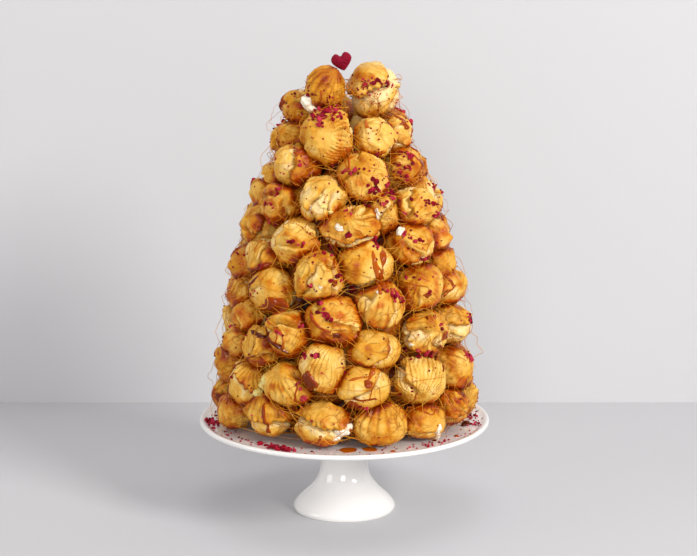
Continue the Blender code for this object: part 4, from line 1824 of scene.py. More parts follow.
    def lay_bead(self, bead: Bead) -> None:
        """Set a round drop on the crust.

        Args:
            bead: its place and size.
        """
        found = self.surface.inward(*bead.at)
        if found is None:
            return
        ways, faces = ball_shape(6)
        self.heap.add(found[0] + found[1] * bead.radius * 0.5 + ways * bead.radius, faces, bead.depth)

    def lay_plate_lumps(self) -> None:
        """Set lumps and thin pools of caramel on the plate round the bottom row."""
        ways, faces = ball_shape(6)
        dice = random.Random(self.lump_seed)
        spots = [(78.0, 128.0, 4.6, 3.0, 0.95), (75.0, 126.0, 3.0, 2.4, 1.0), (81.0, 127.0, 3.0, 2.2, 1.0)]
        spots += [(2.0, 122.0, 9.0, 0.6, 0.25), (12.0, 122.0, 8.0, 0.6, 0.2)]
        for _ in range(self.lumps):
            size, azimuth, radius = dice.uniform(1.0, 3.2), dice.uniform(0, 360), dice.uniform(126, 136)
            spots.append((azimuth, radius, size, size * 0.5, dice.uniform(0.4, 1.0)))
        for azimuth, radius, size, high, depth in spots:
            middle = round_tower(azimuth, self.outline.plate_top, radius)
            warp = 1.0 + 0.25 * NOISE.at(ways * 1.5, azimuth)
            self.heap.add(middle + ways * warp[:, None] * (size, size, high), faces, depth)


# ---------------------------------------------------------------- spun sugar


@dataclass
class Threads:
    """Spun sugar: fine threads wound round the tower, caught in its gaps and curling off it."""

    surface: Surface
    outline: TowerOutline
    seed: int = 19
    winds: int = 20
    clinging: int = 90
    scribbles: int = 260
    bridges: int = 900
    curls: int = 460
    loops: int = 190
    thin: float = 0.17
    thick: float = 0.34

    def build(self) -> None:
        """Draw all the threads, in two pieces."""
        self.dice = random.Random(self.seed)
        wound = {self.wind: self.winds, self.cling: self.clinging, self.scribble: self.scribbles}
        caught = {self.bridge: self.bridges, self.curl: self.curls, self.loop: self.loops}
        finish = SpunSugar().make()
        for name, threads in (("spun_sugar_wound", wound), ("spun_sugar_caught", caught)):
            heap = Heap()
            for draw, count in threads.items():
                for _ in range(count):
                    draw(heap)
            finish_piece(heap.build(name, "strand"), finish, "spun_sugar")

    def level(self, power: float = 1.5) -> float:
        """A height on the tower, more often low than high."""
        return self.outline.plate_top + 8.0 + 345.0 * self.dice.random() ** power

    def girth(self) -> float:
        """A thread's radius."""
        return self.dice.uniform(self.thin, self.thick)

    def wobble(self, count: int, size: float, length: float) -> Array:
        """Smooth random moves along a thread.

        Args:
            count: points along the thread.
            size: the largest move.
            length: how much of the pattern it crosses.

        Returns:
            A move for each point.
        """
        start = self.dice.uniform(0.0, 20.0)
        places = np.stack((np.linspace(start, start + length, count), np.full(count, start * 3.1)), axis=1)
        return size * np.stack(
            [NOISE.at(np.column_stack((places, np.full(count, 5.7 * k)))) for k in range(3)], axis=1
        )

    def wind(self, heap: Heap) -> None:
        """One long thread round the tower that spans from bun to bun.

        Args:
            heap: what collects the threads.
        """
        dice = self.dice
        sweep = dice.uniform(40.0, 150.0)
        count = int(sweep / 1.6)
        start = dice.uniform(-180.0, 180.0)
        azimuth = np.linspace(start, start + sweep, count)
        height = self.level() + np.linspace(0.0, dice.uniform(-45.0, 45.0), count)
        height += self.wobble(count, 10.0, sweep / 40.0)[:, 0]
        height = np.clip(height, self.outline.plate_top + 3.0, self.outline.plate_top + 352.0)
        radius = self.surface.radius(azimuth, height)
        reach = np.arange(count)
        per_step = math.radians(1.6) * max(30.0, float(np.mean(radius)))
        spread = ((reach[:, None] - reach[None, :]) * per_step) ** 2
        held = np.max(radius[None, :] - spread * 0.035, axis=1)
        held = np.minimum(held, radius + 16.0)
        for _ in range(3):
            held[1:-1] = (held[:-2] + held[1:-1] + held[2:]) / 3.0
        held += 0.4 + np.abs(self.wobble(count, 2.5, sweep / 18.0)[:, 1])
        heap.tube(round_tower(azimuth, height, held), self.girth())

    def cling(self, heap: Heap) -> None:
        """One short thread stuck along the crust.

        Args:
            heap: what collects the threads.
        """
        dice = self.dice
        length = dice.uniform(14.0, 60.0)
        count = int(length / 2.0) + 3
        angle = dice.uniform(-math.pi, math.pi)
        height0 = self.level()
        azimuth0 = dice.uniform(-180.0, 180.0)
        radius0 = max(20.0, float(self.surface.radius(azimuth0, height0)))
        run = np.linspace(0.0, length, count)
        drift = self.wobble(count, 7.0, length / 25.0)
        azimuth = azimuth0 + np.degrees((run * math.cos(angle) + drift[:, 0]) / radius0)
        height = height0 + run * math.sin(angle) * 0.8 + drift[:, 1]
        height = np.clip(height, self.outline.plate_top + 3.0, self.outline.plate_top + 350.0)
        radius = self.surface.radius(azimuth, height)
        held = radius.copy()
        for shift in (1, 2):
            held[shift:] = np.maximum(held[shift:], radius[:-shift] - 1.5 * shift)
            held[:-shift] = np.maximum(held[:-shift], radius[shift:] - 1.5 * shift)
        held[1:-1] = (held[:-2] + held[1:-1] + held[2:]) / 3.0
        heap.tube(round_tower(azimuth, height, held + 0.25), self.girth())

    def scribble(self, heap: Heap) -> None:
        """One kinked thread that wanders over the buns and skips the gaps.

        Args:
            heap: what collects the threads.
        """
        dice = self.dice
        count = dice.randint(12, 46)
        steps = np.arange(count)
        bend = dice.uniform(-0.16, 0.16) * steps + self.wobble(count, 2.6, count / 6.0)[:, 0]
        angle = dice.uniform(-math.pi, math.pi) + bend
        height = np.clip(self.level() + np.cumsum(np.sin(angle)) * 2.0, 99.5, self.outline.plate_top + 352.0)
        azimuth = dice.uniform(-180.0, 180.0)
        base = max(22.0, float(self.surface.radius(azimuth, height[0])))
        azimuth = azimuth + np.degrees(np.cumsum(np.cos(angle)) * 2.0 / base)
        radius = self.surface.radius(azimuth, height)
        spread = (steps[:, None] - steps[None, :]) ** 2 * 4.0
        held = np.minimum(np.max(radius[None, :] - spread * 0.06, axis=1), radius + 11.0)
        held[1:-1] = (held[:-2] + held[1:-1] + held[2:]) / 3.0
        held += 0.3 + dice.uniform(0.0, 4.0) * np.abs(self.wobble(count, 1.0, count / 9.0)[:, 1])
        heap.tube(round_tower(azimuth, height, held), self.girth())

    def gap(self) -> tuple[float, float, float]:
        """Find a place where the outside lies deep between buns: azimuth, height and radius.

        Returns:
            The place; where none is deep enough, the last one tried.
        """
        dice = self.dice
        for _ in range(60):
            azimuth, height = dice.uniform(-180.0, 180.0), self.level(1.25)
            here = float(self.surface.radius(azimuth, height))
            if 0.0 < here < self.outline.radius(height) - dice.uniform(9.0, 20.0):
                return azimuth, height, here
        return azimuth, height, here

    def bridge(self, heap: Heap) -> None:
        """A thread across a gap, from one bun to the next.

        Args:
            heap: what collects the threads.
        """
        dice = self.dice
        azimuth, height, here = self.gap()
        angle = dice.uniform(-math.pi, math.pi)
        size = dice.uniform(7.0, 20.0)
        ends = []
        for side in (-1.0, 1.0):
            along = side * size * dice.uniform(0.7, 1.2)
            turn = azimuth + math.degrees(along * math.cos(angle) / max(here, 25.0))
            rise = min(max(height + along * math.sin(angle), 107.0), self.outline.plate_top + 350.0)
            radius = float(self.surface.radius(turn, rise))
            ends.append(round_tower(turn, rise, max(radius, here) - 0.3))
        if np.linalg.norm(ends[0] - ends[1]) > 55.0:
            return
        part = np.linspace(0.0, 1.0, 11)[:, None]
        out = round_tower(azimuth, 0.0, 1.0)
        path = ends[0] * (1.0 - part) + ends[1] * part
        path += out * dice.uniform(-2.0, 4.5) * np.sin(math.pi * part)
        path += self.wobble(11, 3.2, 1.6) * np.sin(math.pi * part)
        heap.tube(path, self.girth())

    def curl(self, heap: Heap) -> None:
        """A short curled bit caught in a gap or on the crust.

        Args:
            heap: what collects the threads.
        """
        dice = self.dice
        azimuth, height, here = self.gap()
        here += dice.uniform(1.0, 9.0)
        middle = round_tower(azimuth, height, here)
        size, turns = dice.uniform(3.0, 9.0), dice.uniform(0.3, 1.1)
        steps = np.linspace(0.0, turns * 2.0 * math.pi, 12)
        first = np.array([dice.gauss(0, 1) for _ in range(3)])
        first /= np.linalg.norm(first)
        second = np.cross(first, (0.3, 0.5, 0.8))
        second /= np.linalg.norm(second)
        path = middle + size * (np.cos(steps)[:, None] * first + np.sin(steps)[:, None] * second)
        heap.tube(path + self.wobble(12, 1.5, 1.5), self.girth())

    def loop(self, heap: Heap) -> None:
        """A loose thread that springs off the tower and comes back to it.

        Args:
            heap: what collects the threads.
        """
        dice = self.dice
        azimuth = dice.uniform(-180.0, 180.0)
        height = self.level(1.2)
        rise = dice.uniform(12.0, 48.0) * dice.choice((-1.0, 1.0))
        count = 22
        part = np.linspace(0.0, 1.0, count)
        heights = np.clip(height + rise * part, 104.0, self.outline.plate_top + 352.0)
        turns = azimuth + dice.uniform(-16.0, 16.0) * part + self.wobble(count, 4.0, 1.5)[:, 0]
        ends = self.surface.radius(turns[[0, -1]], heights[[0, -1]])
        if min(ends) < 15.0:
            return
        base = ends[0] * (1.0 - part) + ends[1] * part
        bulge = dice.uniform(2.0, 9.0) * np.sin(math.pi * part) ** 0.7
        radius = np.maximum(base + bulge, self.surface.radius(turns, heights) * (part > 0.05) * (part < 0.95))
        path = round_tower(turns, heights, np.minimum(radius, 160.0))
        path += self.wobble(count, 6.0, 3.5) * np.sin(math.pi * part)[:, None]
        path += self.wobble(count, 2.2, 9.0) * np.sin(math.pi * part)[:, None]
        path[:, 2] = np.maximum(path[:, 2], 99.6)
        heap.tube(path, self.girth())


# ---------------------------------------------------------------- crumbs


@dataclass(frozen=True)
class Cluster:
    """Fruit crumbs that lodged together: where, how widely spread, how many and how big."""

    azimuth: float
    height: float
    spread: float
    count: int
    size: float = 1.3


CLUSTERS = tuple(
    Cluster(*row)
    for row in (
        (-27, 419, 6.0, 16, 1.5), (-18, 417, 6.0, 15, 1.6), (-12, 421, 5.0, 12, 1.5),
        (-5, 420, 4.5, 8, 1.4), (-70, 436, 6.0, 9), (-40, 437, 3.0, 3), (-58, 425, 3.0, 3),
        (-17, 435, 2.0, 3, 1.5), (27, 443, 4.0, 6), (36, 447, 4.0, 7), (45, 450, 4.0, 8),
        (53, 448, 4.0, 7), (62, 443, 4.0, 5), (19, 434, 4.0, 3), (40, 436, 8.0, 4, 1.0),
        (24, 381, 4.0, 4), (9, 369, 3.5, 5, 1.6), (2, 366, 5.0, 9), (20, 356, 4.0, 8, 1.5),
        (19, 347, 5.5, 18, 1.7), (61, 375, 4.0, 8, 1.4), (56, 364, 5.0, 14, 1.6), (57, 354, 4.0, 7, 1.5),
        (30, 352, 3.0, 4), (36, 340, 5.5, 16, 1.6), (28, 334, 5.0, 9), (16, 333, 3.0, 5, 1.5),
        (42, 323, 4.5, 7), (50, 335, 6.0, 8), (3, 329, 5.0, 7), (-51, 312, 4.5, 5),
        (-9, 290, 4.0, 8, 1.5), (18, 298, 6.0, 15, 1.5), (3, 307, 2.5, 4, 1.7), (38, 261, 3.0, 4, 1.4),
        (45, 249, 2.0, 2), (20, 254, 4.0, 6), (24, 248, 5.5, 13, 1.5), (28, 242, 4.5, 9, 1.5),
        (-11, 242, 2.0, 3, 1.9), (-9, 233, 4.5, 9, 1.6), (-6, 227, 4.0, 7, 1.5), (-21, 218, 2.5, 3, 1.6),
        (-74, 201, 6.0, 22, 1.5), (-13, 193, 2.5, 4, 2.3), (-18, 191, 4.5, 7), (37, 186, 5.5, 20, 1.5),
        (43, 186, 5.5, 12, 1.4), (-18, 149, 2.5, 3, 2.6), (-20, 163, 4.0, 7), (1, 173, 2.5, 3),
        (28, 146, 3.0, 3), (-60, 156, 4.0, 4), (-48, 272, 4.0, 5), (-30, 300, 4.0, 5), (-48, 344, 4.0, 6),
        (-33, 370, 4.0, 5), (-50, 330, 5.0, 7), (-25, 296, 5.0, 6), (-7, 265, 5.0, 6),
        (-2, 268, 4.0, 6, 1.4), (-17, 259, 6.0, 5), (-16, 287, 5.0, 5), (43, 298, 4.0, 6, 1.4),
        (58, 319, 4.0, 6), (37, 303, 5.0, 5), (46, 278, 5.0, 5), (48, 214, 4.0, 4), (62, 190, 5.0, 7),
        (5, 248, 2.0, 2, 3.2), (47, 222, 3.0, 3), (8, 140, 5.0, 4), (-30, 210, 6.0, 4),
    )
)


@dataclass
class Crumbs:
    """Crumbled freeze-dried berry: in clusters, scattered over the buns and fallen on the plate."""

    surface: Surface
    outline: TowerOutline
    seed: int = 23
    strewn: int = 1500
    strewn_size: float = 0.78
    strewn_clusters: int = 60
    fallen: int = 230
    small_piles: int = 14
    coarse: float = 1.7
    lowest: float = 96.0

    def build(self) -> None:
        """Place every crumb and join them into one piece."""
        self.dice = random.Random(self.seed)
        self.shapes = self.make_shapes()
        self.heap = Heap()
        for cluster in CLUSTERS:
            self.gather(cluster)
        dice = self.dice
        for _ in range(self.strewn_clusters):
            azimuth = dice.uniform(62.0, 298.0)
            height = self.outline.plate_top + 20.0 + 320.0 * dice.random() ** 0.9
            self.gather(Cluster(azimuth, height, dice.uniform(3, 7), dice.randint(4, 18), 1.4))
        for _ in range(self.strewn):
            height = self.outline.plate_top + 8.0 + 350.0 * dice.random() ** 0.85
            self.gather(Cluster(dice.uniform(-180, 180), height, 1.0, 1, self.strewn_size))
        self.fall()
        piece = self.heap.build("berry_crumbs", "shade")
        piece.data.shade_flat()
        finish_piece(piece, FreezeDriedFruit().make(), "dried_fruit")

    @staticmethod
    def make_shapes() -> list[tuple[Array, list]]:
        """Two plain bits to deform: a finer one and a coarser one.

        Returns:
            The points and faces of each.
        """
        shapes = []
        for level in (2, 1):
            clear_selection()
            bpy.ops.mesh.primitive_ico_sphere_add(subdivisions=level, radius=1.0)
            bit = bpy.context.object
            shapes.append((points_of(bit), faces_of(bit)))
            discard(bit)
        return shapes

    def bit(self, place: Array, size: float) -> None:
        """Add one uneven crumb.

        Args:
            place: its middle.
            size: its mean radius.
        """
        dice = self.dice
        points, faces = self.shapes[0 if size > self.coarse else 1]
        lumps = 1.0 + 0.45 * NOISE.at(points * 1.3 + dice.uniform(0, 20))
        lumps += 0.12 * NOISE.at(points * 4.0, dice.uniform(0, 9))
        stretch = np.array([dice.uniform(0.65, 1.35) for _ in range(3)])
        turn = rotation("X", dice.uniform(0, 360)) @ rotation("Y", dice.uniform(0, 360))
        shape = (points * lumps[:, None] * stretch * size) @ turn.T
        self.heap.add(place + shape, faces, dice.uniform(0.02, 0.8))

    def gather(self, cluster: Cluster) -> None:
        """Drop a cluster's crumbs on the crust.

        Args:
            cluster: where they lie, and how many.
        """
        dice = self.dice
        radius = max(15.0, float(self.surface.radius(cluster.azimuth, cluster.height)))
        for number in range(cluster.count):
            azimuth = cluster.azimuth + math.degrees(dice.gauss(0.0, cluster.spread * 0.55) / radius)
            height = cluster.height + (dice.gauss(0.0, cluster.spread * 0.5) if number else 0.0)
            found = self.surface.inward(azimuth, height)
            if found is None or found[0][2] < self.lowest:
                continue
            size = cluster.size * dice.uniform(0.65, 1.5)
            self.bit(found[0] + found[1] * size * 0.45, size)

    def fall(self) -> None:
        """Scatter crumbs on the plate, thickest at the front left."""
        dice = self.dice
        piles = [(-32.0, 134.0, 16, 2.1), (-25.0, 136.0, 13, 2.2), (-84.0, 137.0, 22, 2.0)]
        piles.append((-29.0, 139.0, 8, 1.7))
        for _ in range(self.small_piles):
            piles.append((dice.uniform(-180, 180), dice.uniform(130, 142), dice.randint(3, 10), 1.2))
        for azimuth, radius, count, size in piles:
            for _ in range(count):
                turn = azimuth + dice.gauss(0.0, 3.0)
                out = min(radius + dice.gauss(0.0, 3.6), 143.0)
                self.rest(turn, out, size * dice.uniform(0.5, 1.25))
        for _ in range(self.fallen):
            out, size = dice.uniform(122.0, 143.5), dice.uniform(0.4, 1.1)
            self.rest(dice.uniform(-180.0, 180.0), out, size)

    def rest(self, azimuth: float, radius: float, size: float) -> None:
        """Lay one crumb on the plate."""
        self.bit(round_tower(azimuth, self.outline.plate_top + size * 0.6, radius), size)


# ---------------------------------------------------------------- cream


@dataclass(frozen=True)
class Dollop:
    """Cream squeezed out of a bun: where, its width and height, and how far it stands out."""

    azimuth: float
    level: float
    width: float
    height: float
    proud: float = 2.0


CREAM = (
    Dollop(-44, 429, 14.0, 17.0, 8.0), Dollop(-39, 423, 10.0, 10.0, 8.0), Dollop(-1, 314, 15.0, 8.0, 0.5),
    Dollop(37, 305, 12.0, 11.0, 0.5), Dollop(-11, 258, 5.0, 6.0, 0.4), Dollop(-1, 117, 15.0, 9.0, 1.8),
    Dollop(-4, 111, 12.0, 8.0, 1.4), Dollop(2, 121, 9.0, 7.0, 1.6), Dollop(44, 112, 8.0, 11.0, 1.8),
    Dollop(47, 104, 9.0, 13.0, 2.0), Dollop(17, 253, 7.0, 4.0, 0.5), Dollop(36, 196, 6.0, 4.0, 0.4),
    Dollop(24, 322, 6.0, 12.0, 0.8), Dollop(-21, 331, 8.0, 7.0, 0.4), Dollop(63, 203, 2.6, 2.6, 0.8),
)
CUSTARD = (
    Dollop(-45, 146, 14.0, 9.0, 1.5), Dollop(-42, 154, 14.0, 12.0, 1.5), Dollop(-38, 162, 10.0, 10.0, 1.5),
    Dollop(-12, 334, 8.0, 7.0), Dollop(-15, 343, 6.0, 6.0), Dollop(-9, 327, 8.0, 6.0),
)


@dataclass
class Filling:
    """Cream and custard that show where buns split."""

    surface: Surface
    outline: TowerOutline
    back_seed: int = 31
    back_count: int = 16
    sunk: float = 3.5
    cells: int = 10

    def build(self) -> None:
        """Place the cream and the custard, one piece each."""
        dice = random.Random(self.back_seed)
        behind = []
        for _ in range(self.back_count):
            azimuth, level = dice.uniform(75, 285), self.outline.plate_top + dice.uniform(15, 320)
            behind.append(Dollop(azimuth, level, dice.uniform(6, 13), dice.uniform(4, 9), 1.0))
        self.fill([*CREAM, *behind], WhippedCream())
        self.fill(CUSTARD, WhippedCream(name="egg_custard", light="EAD684", shade="CDB452"))

    def fill(self, dollops: Iterable[Dollop], finish: WhippedCream) -> None:
        """Set dollops in the crust and make them one piece.

        Args:
            dollops: the dollops.
            finish: their material, whose name the piece takes.
        """
        heap = Heap()
        ways, faces = ball_shape(self.cells)
        for number, dollop in enumerate(dollops):
            found = self.surface.inward(dollop.azimuth, dollop.level)
            if found is None:
                continue
            axes = Place.axes_at(math.radians(dollop.azimuth))
            lumps = 1.0 + 0.20 * NOISE.at(ways * 2.4, number * 1.3) + 0.09 * NOISE.at(ways * 6.0, number)
            half = np.array((dollop.width / 2.0, dollop.proud + self.sunk, dollop.height / 2.0))
            middle = found[0] - axes[:, 1] * self.sunk
            heap.add(middle + (ways * lumps[:, None] * half) @ axes.T, faces)
        finish_piece(heap.build(finish.name, "soft"), finish.make(), "cream")


# ---------------------------------------------------------------- core


@dataclass
class Core:
    """The caramel-soaked inner buns, seen only through the gaps."""

    outline: TowerOutline
    depth: float = 36.0
    dome: float = 21.0
    relief: float = 11.0
    top: float = 300.0
    rows: int = 9
    first_row: float = 18.0
    row_height: float = 33.0
    pitch: float = 38.0
    seed: int = 3
    segments: int = 180
    rings: int = 150

    def build(self) -> Piece:
        """Make the core, a tapered drum with the domes of inner buns on it.

        Returns:
            The piece.
        """
        outline = self.outline
        piece = sphere("caramel_core_painted_shade", self.segments, self.rings)
        ways = directions(piece)
        level = (1.0 - np.arccos(np.clip(ways[:, 2], -1.0, 1.0)) / math.pi) * self.top
        around = np.arctan2(ways[:, 1], ways[:, 0])
        base = np.array([outline.radius(outline.plate_top + v) - self.depth for v in level])
        ends = np.minimum(1.0, np.minimum(level, self.top - level) / 8.0 + 0.02) ** 0.5
        flat = np.stack((base * np.cos(around), base * np.sin(around), level), axis=1)
        gap = np.full(len(flat), 99.0)
        for dome in self.domes():
            gap = np.minimum(gap, np.linalg.norm(flat - dome, axis=1))
        rise = np.sqrt(np.clip(1.0 - (gap / self.dome) ** 2, 0.0, 1.0))
        noise = NOISE.at(flat / 9.0)
        radius = (base + self.relief * (rise - 0.6) + 2.0 * noise) * ends
        height = outline.plate_top + 0.3 + level
        move_points(piece, np.stack((radius * np.cos(around), radius * np.sin(around), height), axis=1))
        # The relief carries the painted shade: low in the hollows between the domes, high on their tops.
        paint(piece, "relief", np.clip(rise + 0.2 * noise, 0.0, 1.0))
        piece.data.shade_smooth()
        finish_piece(piece, BoundCore().make(), "caramel", "caramel_core")
        return piece

    def domes(self) -> list[Array]:
        """Middles of the inner buns, staggered row over row.

        Returns:
            The middles.
        """
        found = []
        dice = random.Random(self.seed)
        for row in range(self.rows):
            level = self.first_row + row * self.row_height
            radius = self.outline.radius(self.outline.plate_top + level) - self.depth
            count = max(3, round(2.0 * math.pi * radius / self.pitch))
            for step in range(count):
                angle = 2.0 * math.pi * (step + 0.5 * (row % 2) + dice.uniform(-0.12, 0.12)) / count
                found.append(np.array((radius * math.cos(angle), radius * math.sin(angle), level)))
        return found


# ---------------------------------------------------------------- stand


@dataclass
class CakeStand:
    """The footed cake stand: a flat plate with a soft raised lip on a flared, hollow foot."""

    plate_radius: float = 150.0
    plate_top: float = 97.0
    lip: float = 2.0
    lip_width: float = 6.0
    rim: float = 5.0
    underside: float = 87.0
    stem: float = 24.0
    foot_flare: float = 30.0
    foot_reach: float = 24.0
    top_flare: float = 20.0
    top_reach: float = 12.0
    foot_edge: float = 4.0
    ring_outer: float = 52.0
    ring_inner: float = 45.0
    wall: float = 6.0
    hollow: float = 58.0
    segments: int = 160

    def stem_radius(self, height: float) -> float:
        """Outer radius of the stem at a height.

        Args:
            height: height above the foot.

        Returns:
            The radius.
        """
        foot = self.foot_flare * math.exp(-((height / self.foot_reach) ** 2))
        top = self.top_flare * math.exp(-(((self.underside - height) / self.top_reach) ** 2))
        return self.stem + foot + top

    def outline(self) -> list[tuple[float, float]]:
        """The turned outline, from the foot's hollow round the outside to the plate's middle.

        Returns:
            Points as radius and height.
        """
        points = []
        for height in np.linspace(self.hollow, 2.0, 16):
            points.append((min(self.stem_radius(height) - self.wall, self.ring_inner - 0.6), height))
        points += [(self.ring_inner, 0.0), (self.ring_outer, 0.0)]
        for step in range(1, 5):
            angle = math.radians(-90.0 + 90.0 * step / 4.0)
            reach = self.stem_radius(self.foot_edge) - self.ring_outer
            rise = self.foot_edge * (1.0 + math.sin(angle))
            points.append((self.ring_outer + reach * math.cos(angle), rise))
        for height in np.linspace(self.foot_edge + 1.5, self.underside - 1.0, 40):
            points.append((self.stem_radius(height), height))
        points.append((62.0, self.underside + 0.6))
        half = self.rim / 2.0
        middle = self.plate_top + self.lip - half
        points.append((self.plate_radius - 3.0 * self.lip_width, middle - half - 0.4))
        for step in range(13):
            angle = math.radians(-90.0 + 15.0 * step)
            reach = self.plate_radius - half + half * math.cos(angle)
            points.append((reach, middle + half * math.sin(angle)))
        for step in range(1, 7):
            part = step / 6.0
            ease = part * part * (3.0 - 2.0 * part)
            reach = self.plate_radius - half - 1.2 * self.lip_width * part
            points.append((reach, self.plate_top + self.lip * (1 - ease)))
        points += [(radius, self.plate_top) for radius in (130.0, 100.0, 60.0)]
        return points

    def build(self) -> Piece:
        """Turn the stand from a circle by extruding and resizing it ring by ring.

        Returns:
            The stand.
        """
        outline = self.outline()
        radius, height = outline[0]
        clear_selection()
        bpy.ops.mesh.primitive_circle_add(
            vertices=self.segments, radius=radius * MM, fill_type="NGON", location=(0.0, 0.0, height * MM)
        )
        piece = bpy.context.object
        piece.name = "porcelain_cake_stand"
        bpy.ops.object.transform_apply(location=True)
        bpy.ops.object.mode_set(mode="EDIT")
        bpy.ops.mesh.select_all(action="SELECT")
        for after_radius, after_height in outline[1:]:
            bpy.ops.mesh.extrude_region_move(
                TRANSFORM_OT_translate={"value": (0.0, 0.0, (after_height - height) * MM)}
            )
            grow = after_radius / radius
            bpy.ops.transform.resize(value=(grow, grow, 1.0), center_override=(0.0, 0.0, after_height * MM))
            radius, height = after_radius, after_height
        bpy.ops.mesh.select_all(action="SELECT")
        bpy.ops.mesh.normals_make_consistent(inside=False)
        bpy.ops.object.mode_set(mode="OBJECT")
        bpy.ops.object.shade_smooth_by_angle(angle=math.radians(40.0))
        self.dust(piece)
        finish_piece(piece, GlazedPorcelain().make(), "porcelain", "cake_stand")
        return piece

    def dust(self, piece: Piece) -> None:
        """Paint where berry powder fell on the plate, most at the front.

        Args:
            piece: the finished stand.
        """
        points = points_of(piece) / MM
        radius = np.hypot(points[:, 0], points[:, 1])
        on_top = (points[:, 2] > self.plate_top - 0.1) & (radius < self.plate_radius - 3.0)
        front = 0.55 + 0.45 * (-points[:, 1] / np.maximum(radius, 1.0))
        paint(piece, "dusting", on_top * front * smooth_step(60.0, 120.0, radius))


# ---------------------------------------------------------------- heart


@dataclass
class FruitHeart:
    """The heart on the top: a dried-fruit heart covered with small round drupelets."""

    drupelet: float = 1.6
    count: int = 150
    tilt: float = 14.0
    segments: int = 150
    rings: int = 110

    def build(self) -> Piece:
        """Shape the heart inside its CAD node's box and raise its drupelets.

        Returns:
            The heart.
        """
        low, high = (np.array(corner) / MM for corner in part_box("fruit_heart"))
        middle, half = (low + high) / 2.0, (high - low) / 2.0
        piece = sphere("berry_heart", self.segments, self.rings)
        points = self.heart(directions(piece))
        seeds = self.heart(self.spread(self.count))
        gap = np.full(len(points), 9.0)
        for seed in seeds:
            gap = np.minimum(gap, np.linalg.norm((points - seed) * half, axis=1))
        rise = np.sqrt(np.clip(1.0 - (gap / (1.25 * self.drupelet)) ** 2, 0.0, 1.0))
        points = points * (0.79 + 0.23 * rise)[:, None]
        points = points @ rotation("Y", -self.tilt).T * half + middle
        move_points(piece, points)
        # Painted shade on the drupelets: dark in the hollows between them, pink on their tops.
        paint(piece, "shade", 0.70 * rise**1.5 - 0.05)
        piece.data.shade_smooth()
        fruit = FreezeDriedFruit("dried_berry_heart", dark="30010A", crimson="7A0420", pink="AA1E3E")
        finish_piece(piece, fruit.make(), "dried_fruit", "fruit_heart")
        return piece

    @staticmethod
    def heart(ways: Array) -> Array:
        """Points of a plump unit heart for unit directions.

        Args:
            ways: unit directions, one row each.

        Returns:
            The points.
        """
        side = np.abs(ways[:, 0])
        low = np.maximum(-ways[:, 2], 0.0)
        dip = 0.38 * np.exp(-((side / 0.28) ** 2)) * np.maximum(ways[:, 2], 0.0)
        x = ways[:, 0] * (1.08 - 0.46 * low**1.5)
        z = ways[:, 2] * np.where(ways[:, 2] < 0.0, 1.0, 0.92) + 0.18 * side - dip
        return np.stack((x, ways[:, 1] * (1.0 - 0.25 * low), z), axis=1)

    @staticmethod
    def spread(count: int) -> Array:
        """Evenly spread unit directions.

        Args:
            count: how many.

        Returns:
            The directions.
        """
        steps = np.arange(count) + 0.5
        polar = np.arccos(1.0 - 2.0 * steps / count)
        around = math.pi * (1.0 + 5.0**0.5) * steps
        flat = np.sin(polar)
        return np.stack((np.cos(around) * flat, np.sin(around) * flat, np.cos(polar)), axis=1)


# ---------------------------------------------------------------- studio


@dataclass(frozen=True)
class Softbox:
    """A soft square light: its place, width and target height in metres, its power and its tint."""

    name: str
    place: tuple[float, float, float]
    width: float
    power: float
    target: float = 0.27
    tint: str = "FFFFFF"

    def add(self) -> None:
        """Hang the light, facing the tower."""
        light = bpy.data.lights.new(self.name, "AREA")
        light.shape = "RECTANGLE"
        light.size = light.size_y = self.width
        light.energy = self.power
        light.color = linear(self.tint)[:3]
        lamp = bpy.data.objects.new(self.name, light)
        lamp.location = self.place
        way = Vector((0.0, 0.0, self.target)) - Vector(self.place)
        lamp.rotation_euler = way.to_track_quat("-Z", "Y").to_euler()
        bpy.context.scene.collection.objects.link(lamp)


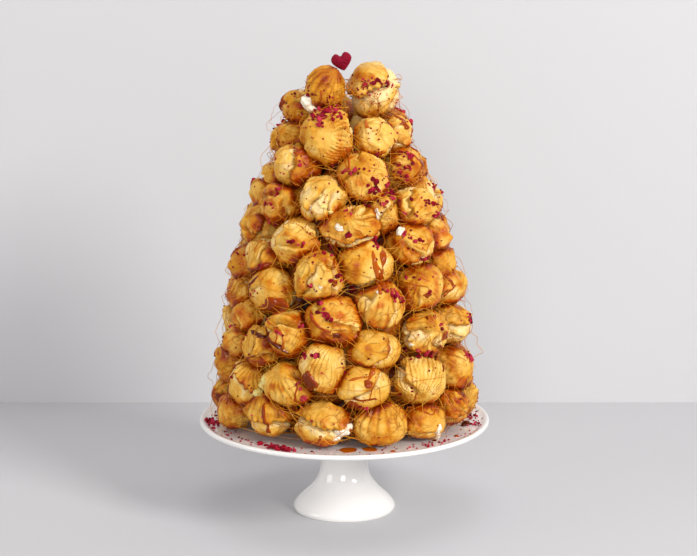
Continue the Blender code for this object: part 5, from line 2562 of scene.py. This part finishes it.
@dataclass
class Studio:
    """A pale floor and backdrop, soft light from the upper right, and the camera."""

    softboxes: tuple[Softbox, ...] = (
        Softbox("key_softbox", (2.25, -2.25, 1.75), 1.05, 98.0, tint="FFFCF8"),
        Softbox("front_window", (-0.4, -4.3, 1.25), 1.2, 58.0, target=0.2),
        Softbox("top_softbox", (0.1, -0.1, 1.9), 1.5, 10.0, target=0.2),
        Softbox("rear_softbox", (-0.9, 2.6, 1.9), 1.2, 16.0),
        Softbox("left_softbox", (-2.4, -0.9, 0.8), 1.2, 15.0, tint="FFFCF8"),
    )
    room_tint: str = "FFFCF9"
    room_light: float = 0.27
    floor_width: float = 12.0
    wall_height: float = 6.0
    wall_sunk: float = 0.01
    wall_distance: float = 0.43
    camera_place: tuple[float, float, float] = (0.0043, -2.0, 0.6394)
    camera_tilt: float = 11.17
    focal: float = 102.84
    sensor: float = 36.0

    def build(self) -> None:
        """Set up the floor, the wall, the lights and the camera."""
        self.sheet("studio_floor", self.floor_width, 0.0, (0.0, 0.0, 0.0))
        middle = self.wall_height / 2.0 - self.wall_sunk
        self.sheet("studio_wall", self.wall_height, 90.0, (0.0, self.wall_distance, middle))
        for softbox in self.softboxes:
            softbox.add()
        world = bpy.data.worlds.new("soft_room")
        world.use_nodes = True
        background = world.node_tree.nodes["Background"]
        background.inputs["Color"].default_value = linear(self.room_tint)
        background.inputs["Strength"].default_value = self.room_light
        bpy.context.scene.world = world
        self.camera()

    def sheet(self, name: str, deep: float, turn: float, place: tuple[float, float, float]) -> None:
        """Add the floor, or the wall, which shows from the front only.

        Args:
            name: the sheet's name.
            deep: its depth, or its height where it stands up.
            turn: how far it is tipped up, in degrees.
            place: its middle.
        """
        clear_selection()
        bpy.ops.mesh.primitive_plane_add(size=1.0)
        sheet = bpy.context.object
        sheet.name = name
        bpy.ops.object.mode_set(mode="EDIT")
        bpy.ops.mesh.select_all(action="SELECT")
        bpy.ops.transform.resize(value=(self.floor_width, deep, 1.0), center_override=(0.0, 0.0, 0.0))
        bpy.ops.object.mode_set(mode="OBJECT")
        sheet.rotation_euler = (math.radians(turn), 0.0, 0.0)
        sheet.location = place
        sheet.data.materials.append(PaleSurface(name + "_paint", one_sided=turn > 0.0).make())

    def camera(self) -> None:
        """Place the camera at the tower's front, a little above it."""
        data = bpy.data.cameras.new("camera")
        data.lens = self.focal
        data.sensor_width = self.sensor
        camera = bpy.data.objects.new("camera", data)
        camera.location = self.camera_place
        camera.rotation_euler = (math.radians(90.0 - self.camera_tilt), 0.0, 0.0)
        bpy.context.scene.collection.objects.link(camera)
        bpy.context.scene.camera = camera


def main() -> None:
    """Build the looks in order."""
    logging.basicConfig(level=logging.INFO, format="%(message)s")
    bpy.context.scene.view_settings.view_transform = "Standard"
    Studio().build()
    stand = CakeStand().build()
    tower = Tower()
    tower.lay_out()
    tower.build()
    core = Core(tower.outline).build()
    FruitHeart().build()
    surface = Surface([stand, core, *tower.buns])
    LOG.info("surveyed the outside")
    for maker in (Filling, Caramel, Threads, Crumbs):
        maker(surface, tower.outline).build()
    for mesh in BALLS.values():
        bpy.data.meshes.remove(mesh)


if __name__ == "__main__":
    main()
